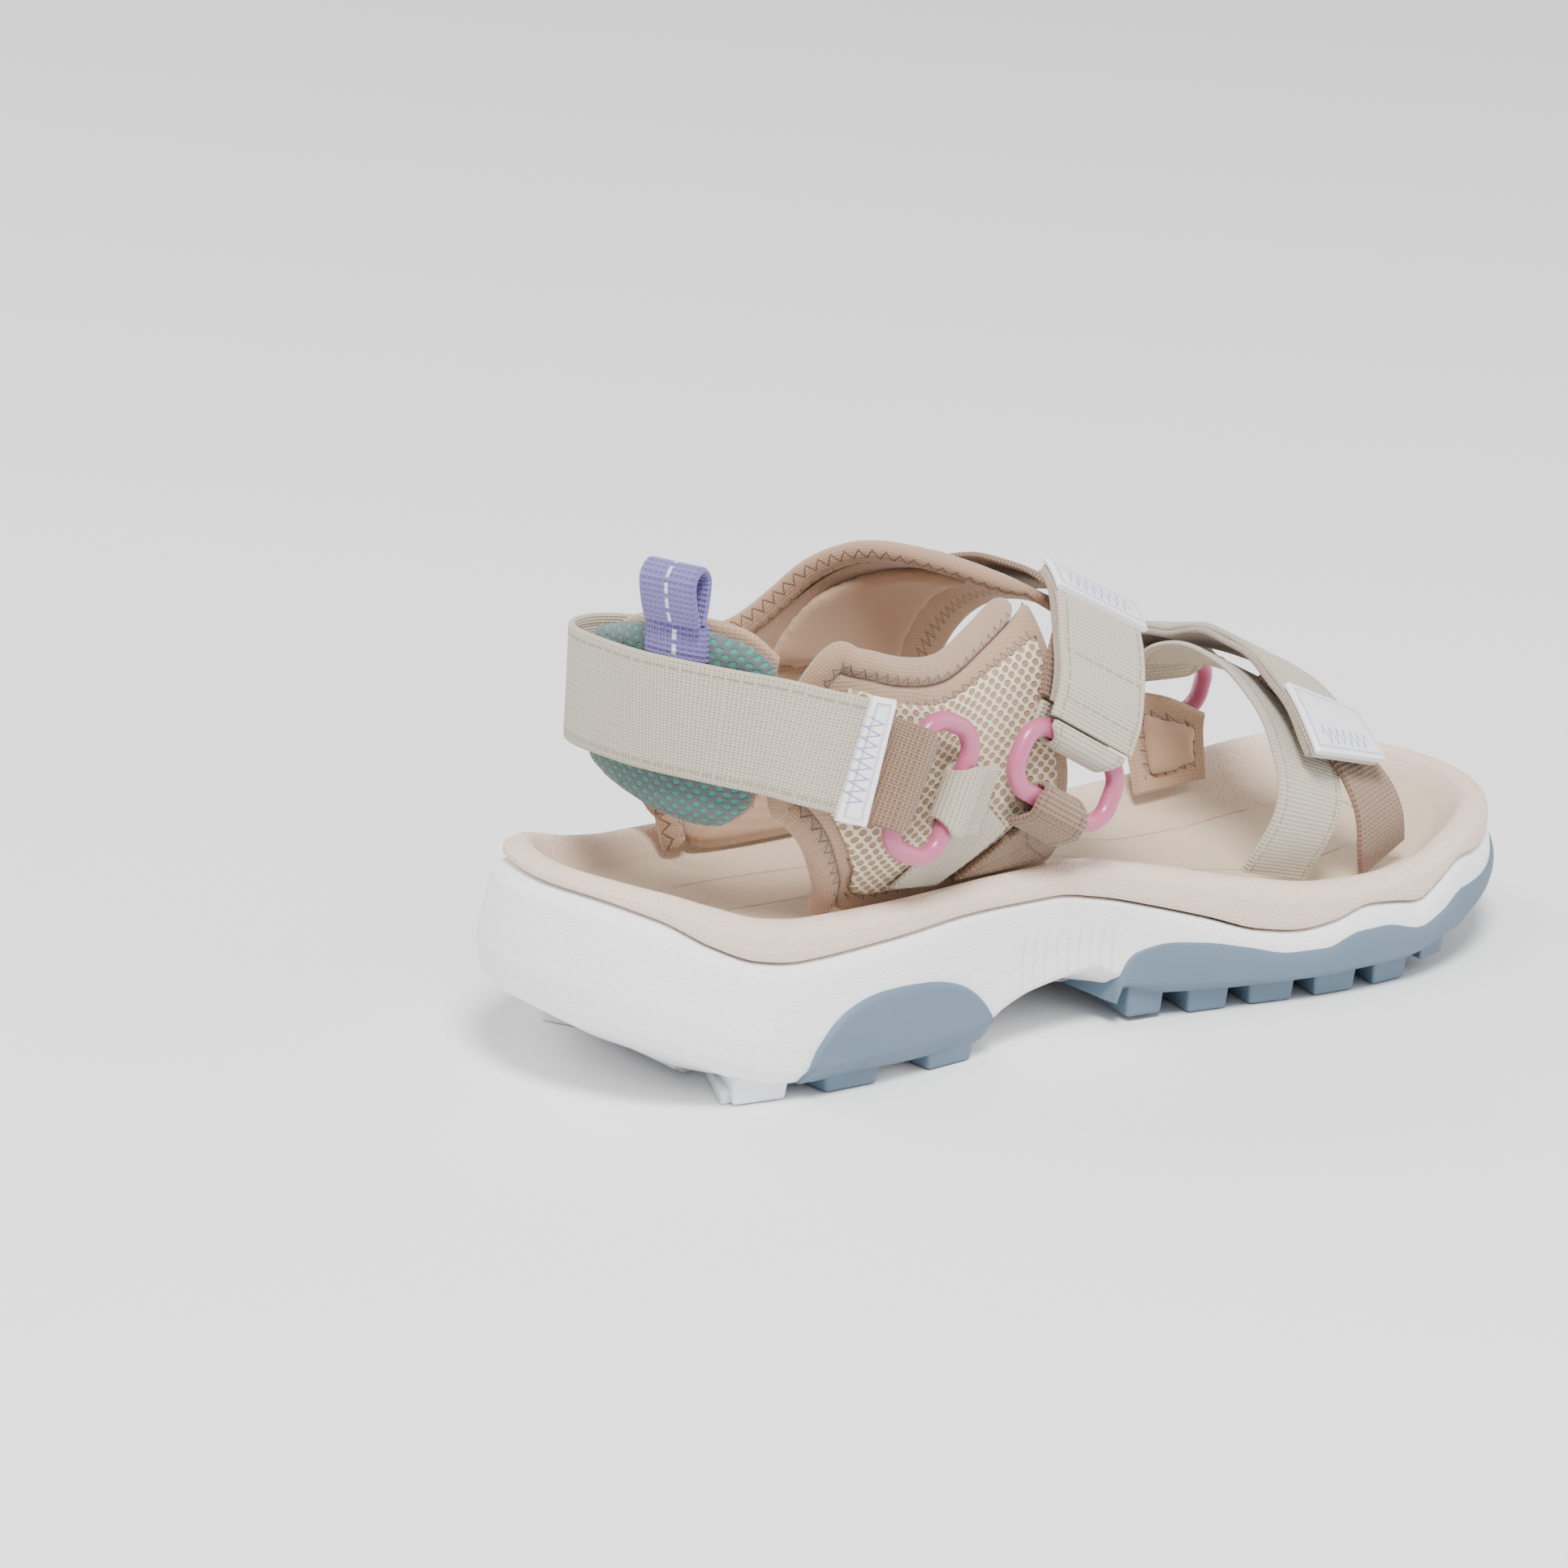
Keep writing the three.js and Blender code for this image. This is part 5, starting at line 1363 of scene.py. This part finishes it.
toe_sheet = panel(
    "toe_panel", medial, [(188, 23.5), (198, 23.6), (208, 24.4)], [(188, 46), (199, 43), (209, 38.5)],
    0, LINING, (50, 50),
)
wear_on(toe_sheet, LINING_SKIN)
pad(
    "toe_panel_pad", medial, [(191, 27), (198, 27), (205, 28)], [(191, 42), (198, 39.5), (206, 36.5)],
    -2.2, 0.1, (30, 30), 2.0, 1.2, 0.4, PAD_LINING,
)
wear_on(ring("toe_ring", toe_ring_frame), RINGS)
anchor("toe_anchor", medial, toe_ring_frame, 7, 3, TAN_EDGE)
beside = near_toe(11, -FOLD)
places = [
    (173, -u_at(173, recess(173) + TOE_BASE), TOE_STRAP - 2),
    (177, -0.76, TOE_STRAP),
    (183, -0.42, TOE_STRAP),
    (187, -0.1, TOE_STRAP),
    (192, 0.2, TOE_STRAP + 0.6),
    (beside[0], beside[1], INNER_LAYER),
    near_toe(6, -FOLD),
]
run = turning(laid(over_foot, places, 120), toe_ring_frame["along"], 0.3)
wear_on(strap("toe_strap", run, TOE - 1), CREAM)
layer = TOE_STRAP + WEB + GAP
places = [
    (203, -u_at(203, recess(203) + TOE_BASE), TOE_STRAP), (199, -0.76, layer), (194, -0.5, layer), (190, -0.2, layer),
]
wear_on(strap("toe_side_strap", laid(over_foot, places, 60), SIDE), TAN)
wear_on(strap("toe_strap_fold", fold(toe_ring_frame, 1, 1.5, 5), TOE - 1), CREAM)
wear_on(strap("toe_strap_flap", toe_run(0), TOE + 1), CREAM)
under = toe_run(WEB / 2 + GAP / 2 + TAPE / 2)[1:98]
wear_on(strap("toe_flap_hook_tape", under, TOE + 1.7, TAPE + 0.6, ripple=0.25), FUZZ)
over = toe_run(-WEB / 2 - TAB / 2)[0:19]
wear_on(strap("toe_flap_tab", over, TOE + 2.5, TAB, ripple=0), tab_look("toe tab", 4.2))

# ---------------------------------------------------------------- floor, light and camera


def floor():
    mesh = bpy.data.meshes.new("floor")
    reach, back = 3.0, 3.0
    mesh.from_pydata(
        [(-reach, -back, -0.0002), (reach, -back, -0.0002), (reach, back, -0.0002), (-reach, back, -0.0002)],
        [], [(0, 1, 2, 3)],
    )
    obj = bpy.data.objects.new("floor", mesh)
    bpy.context.scene.collection.objects.link(obj)
    look = Look("pale floor", "F4F4F4", 0.9)
    wear(look, "EEEEEE", 0.2, 0.01)
    mesh.materials.append(look.finish(0.1))


def area(name, place, aim, size, power):
    light = bpy.data.lights.new(name, "AREA")
    light.shape, light.size, light.energy = "DISK", size, power
    obj = bpy.data.objects.new(name, light)
    obj.location = place
    obj.rotation_euler = (Vector(aim) - Vector(place)).to_track_quat("-Z", "Y").to_euler()
    bpy.context.scene.collection.objects.link(obj)


floor()
area("key", (-0.55, -0.75, 1.5), (0, 0, 0.03), 0.6, 46)
area("fill", (1.2, -0.8, 0.7), (0, 0, 0.03), 1.4, 9)
area("rim", (-0.6, 1.2, 0.9), (0, 0, 0.05), 1.0, 10)
world = bpy.data.worlds.new("studio")
bpy.context.scene.world = world
world.use_nodes = True
world.node_tree.nodes["Background"].inputs[0].default_value = (1, 1, 1, 1)
world.node_tree.nodes["Background"].inputs[1].default_value = 0.8

AZIMUTH, ELEVATION, ROLL = (math.radians(a) for a in (39, 17, 2.7))
target = Vector((-54.19, 8.64, 50)) * MM
back = Vector((
    -math.sin(AZIMUTH) * math.cos(ELEVATION),
    -math.cos(AZIMUTH) * math.cos(ELEVATION),
    math.sin(ELEVATION),
))
level = Vector((math.cos(AZIMUTH), -math.sin(AZIMUTH), 0))
right = level * math.cos(ROLL) + back.cross(level) * math.sin(ROLL)
up = back.cross(right)
camera = bpy.data.objects.new("camera", bpy.data.cameras.new("camera"))
bpy.context.scene.collection.objects.link(camera)
camera.data.lens, camera.data.sensor_width = 171.3, 36
camera.data.clip_start, camera.data.clip_end = 0.05, 20
pose = Matrix((right, up, back)).transposed().to_4x4()
pose.translation = target + back * 1.548
camera.matrix_world = pose
bpy.context.scene.camera = camera
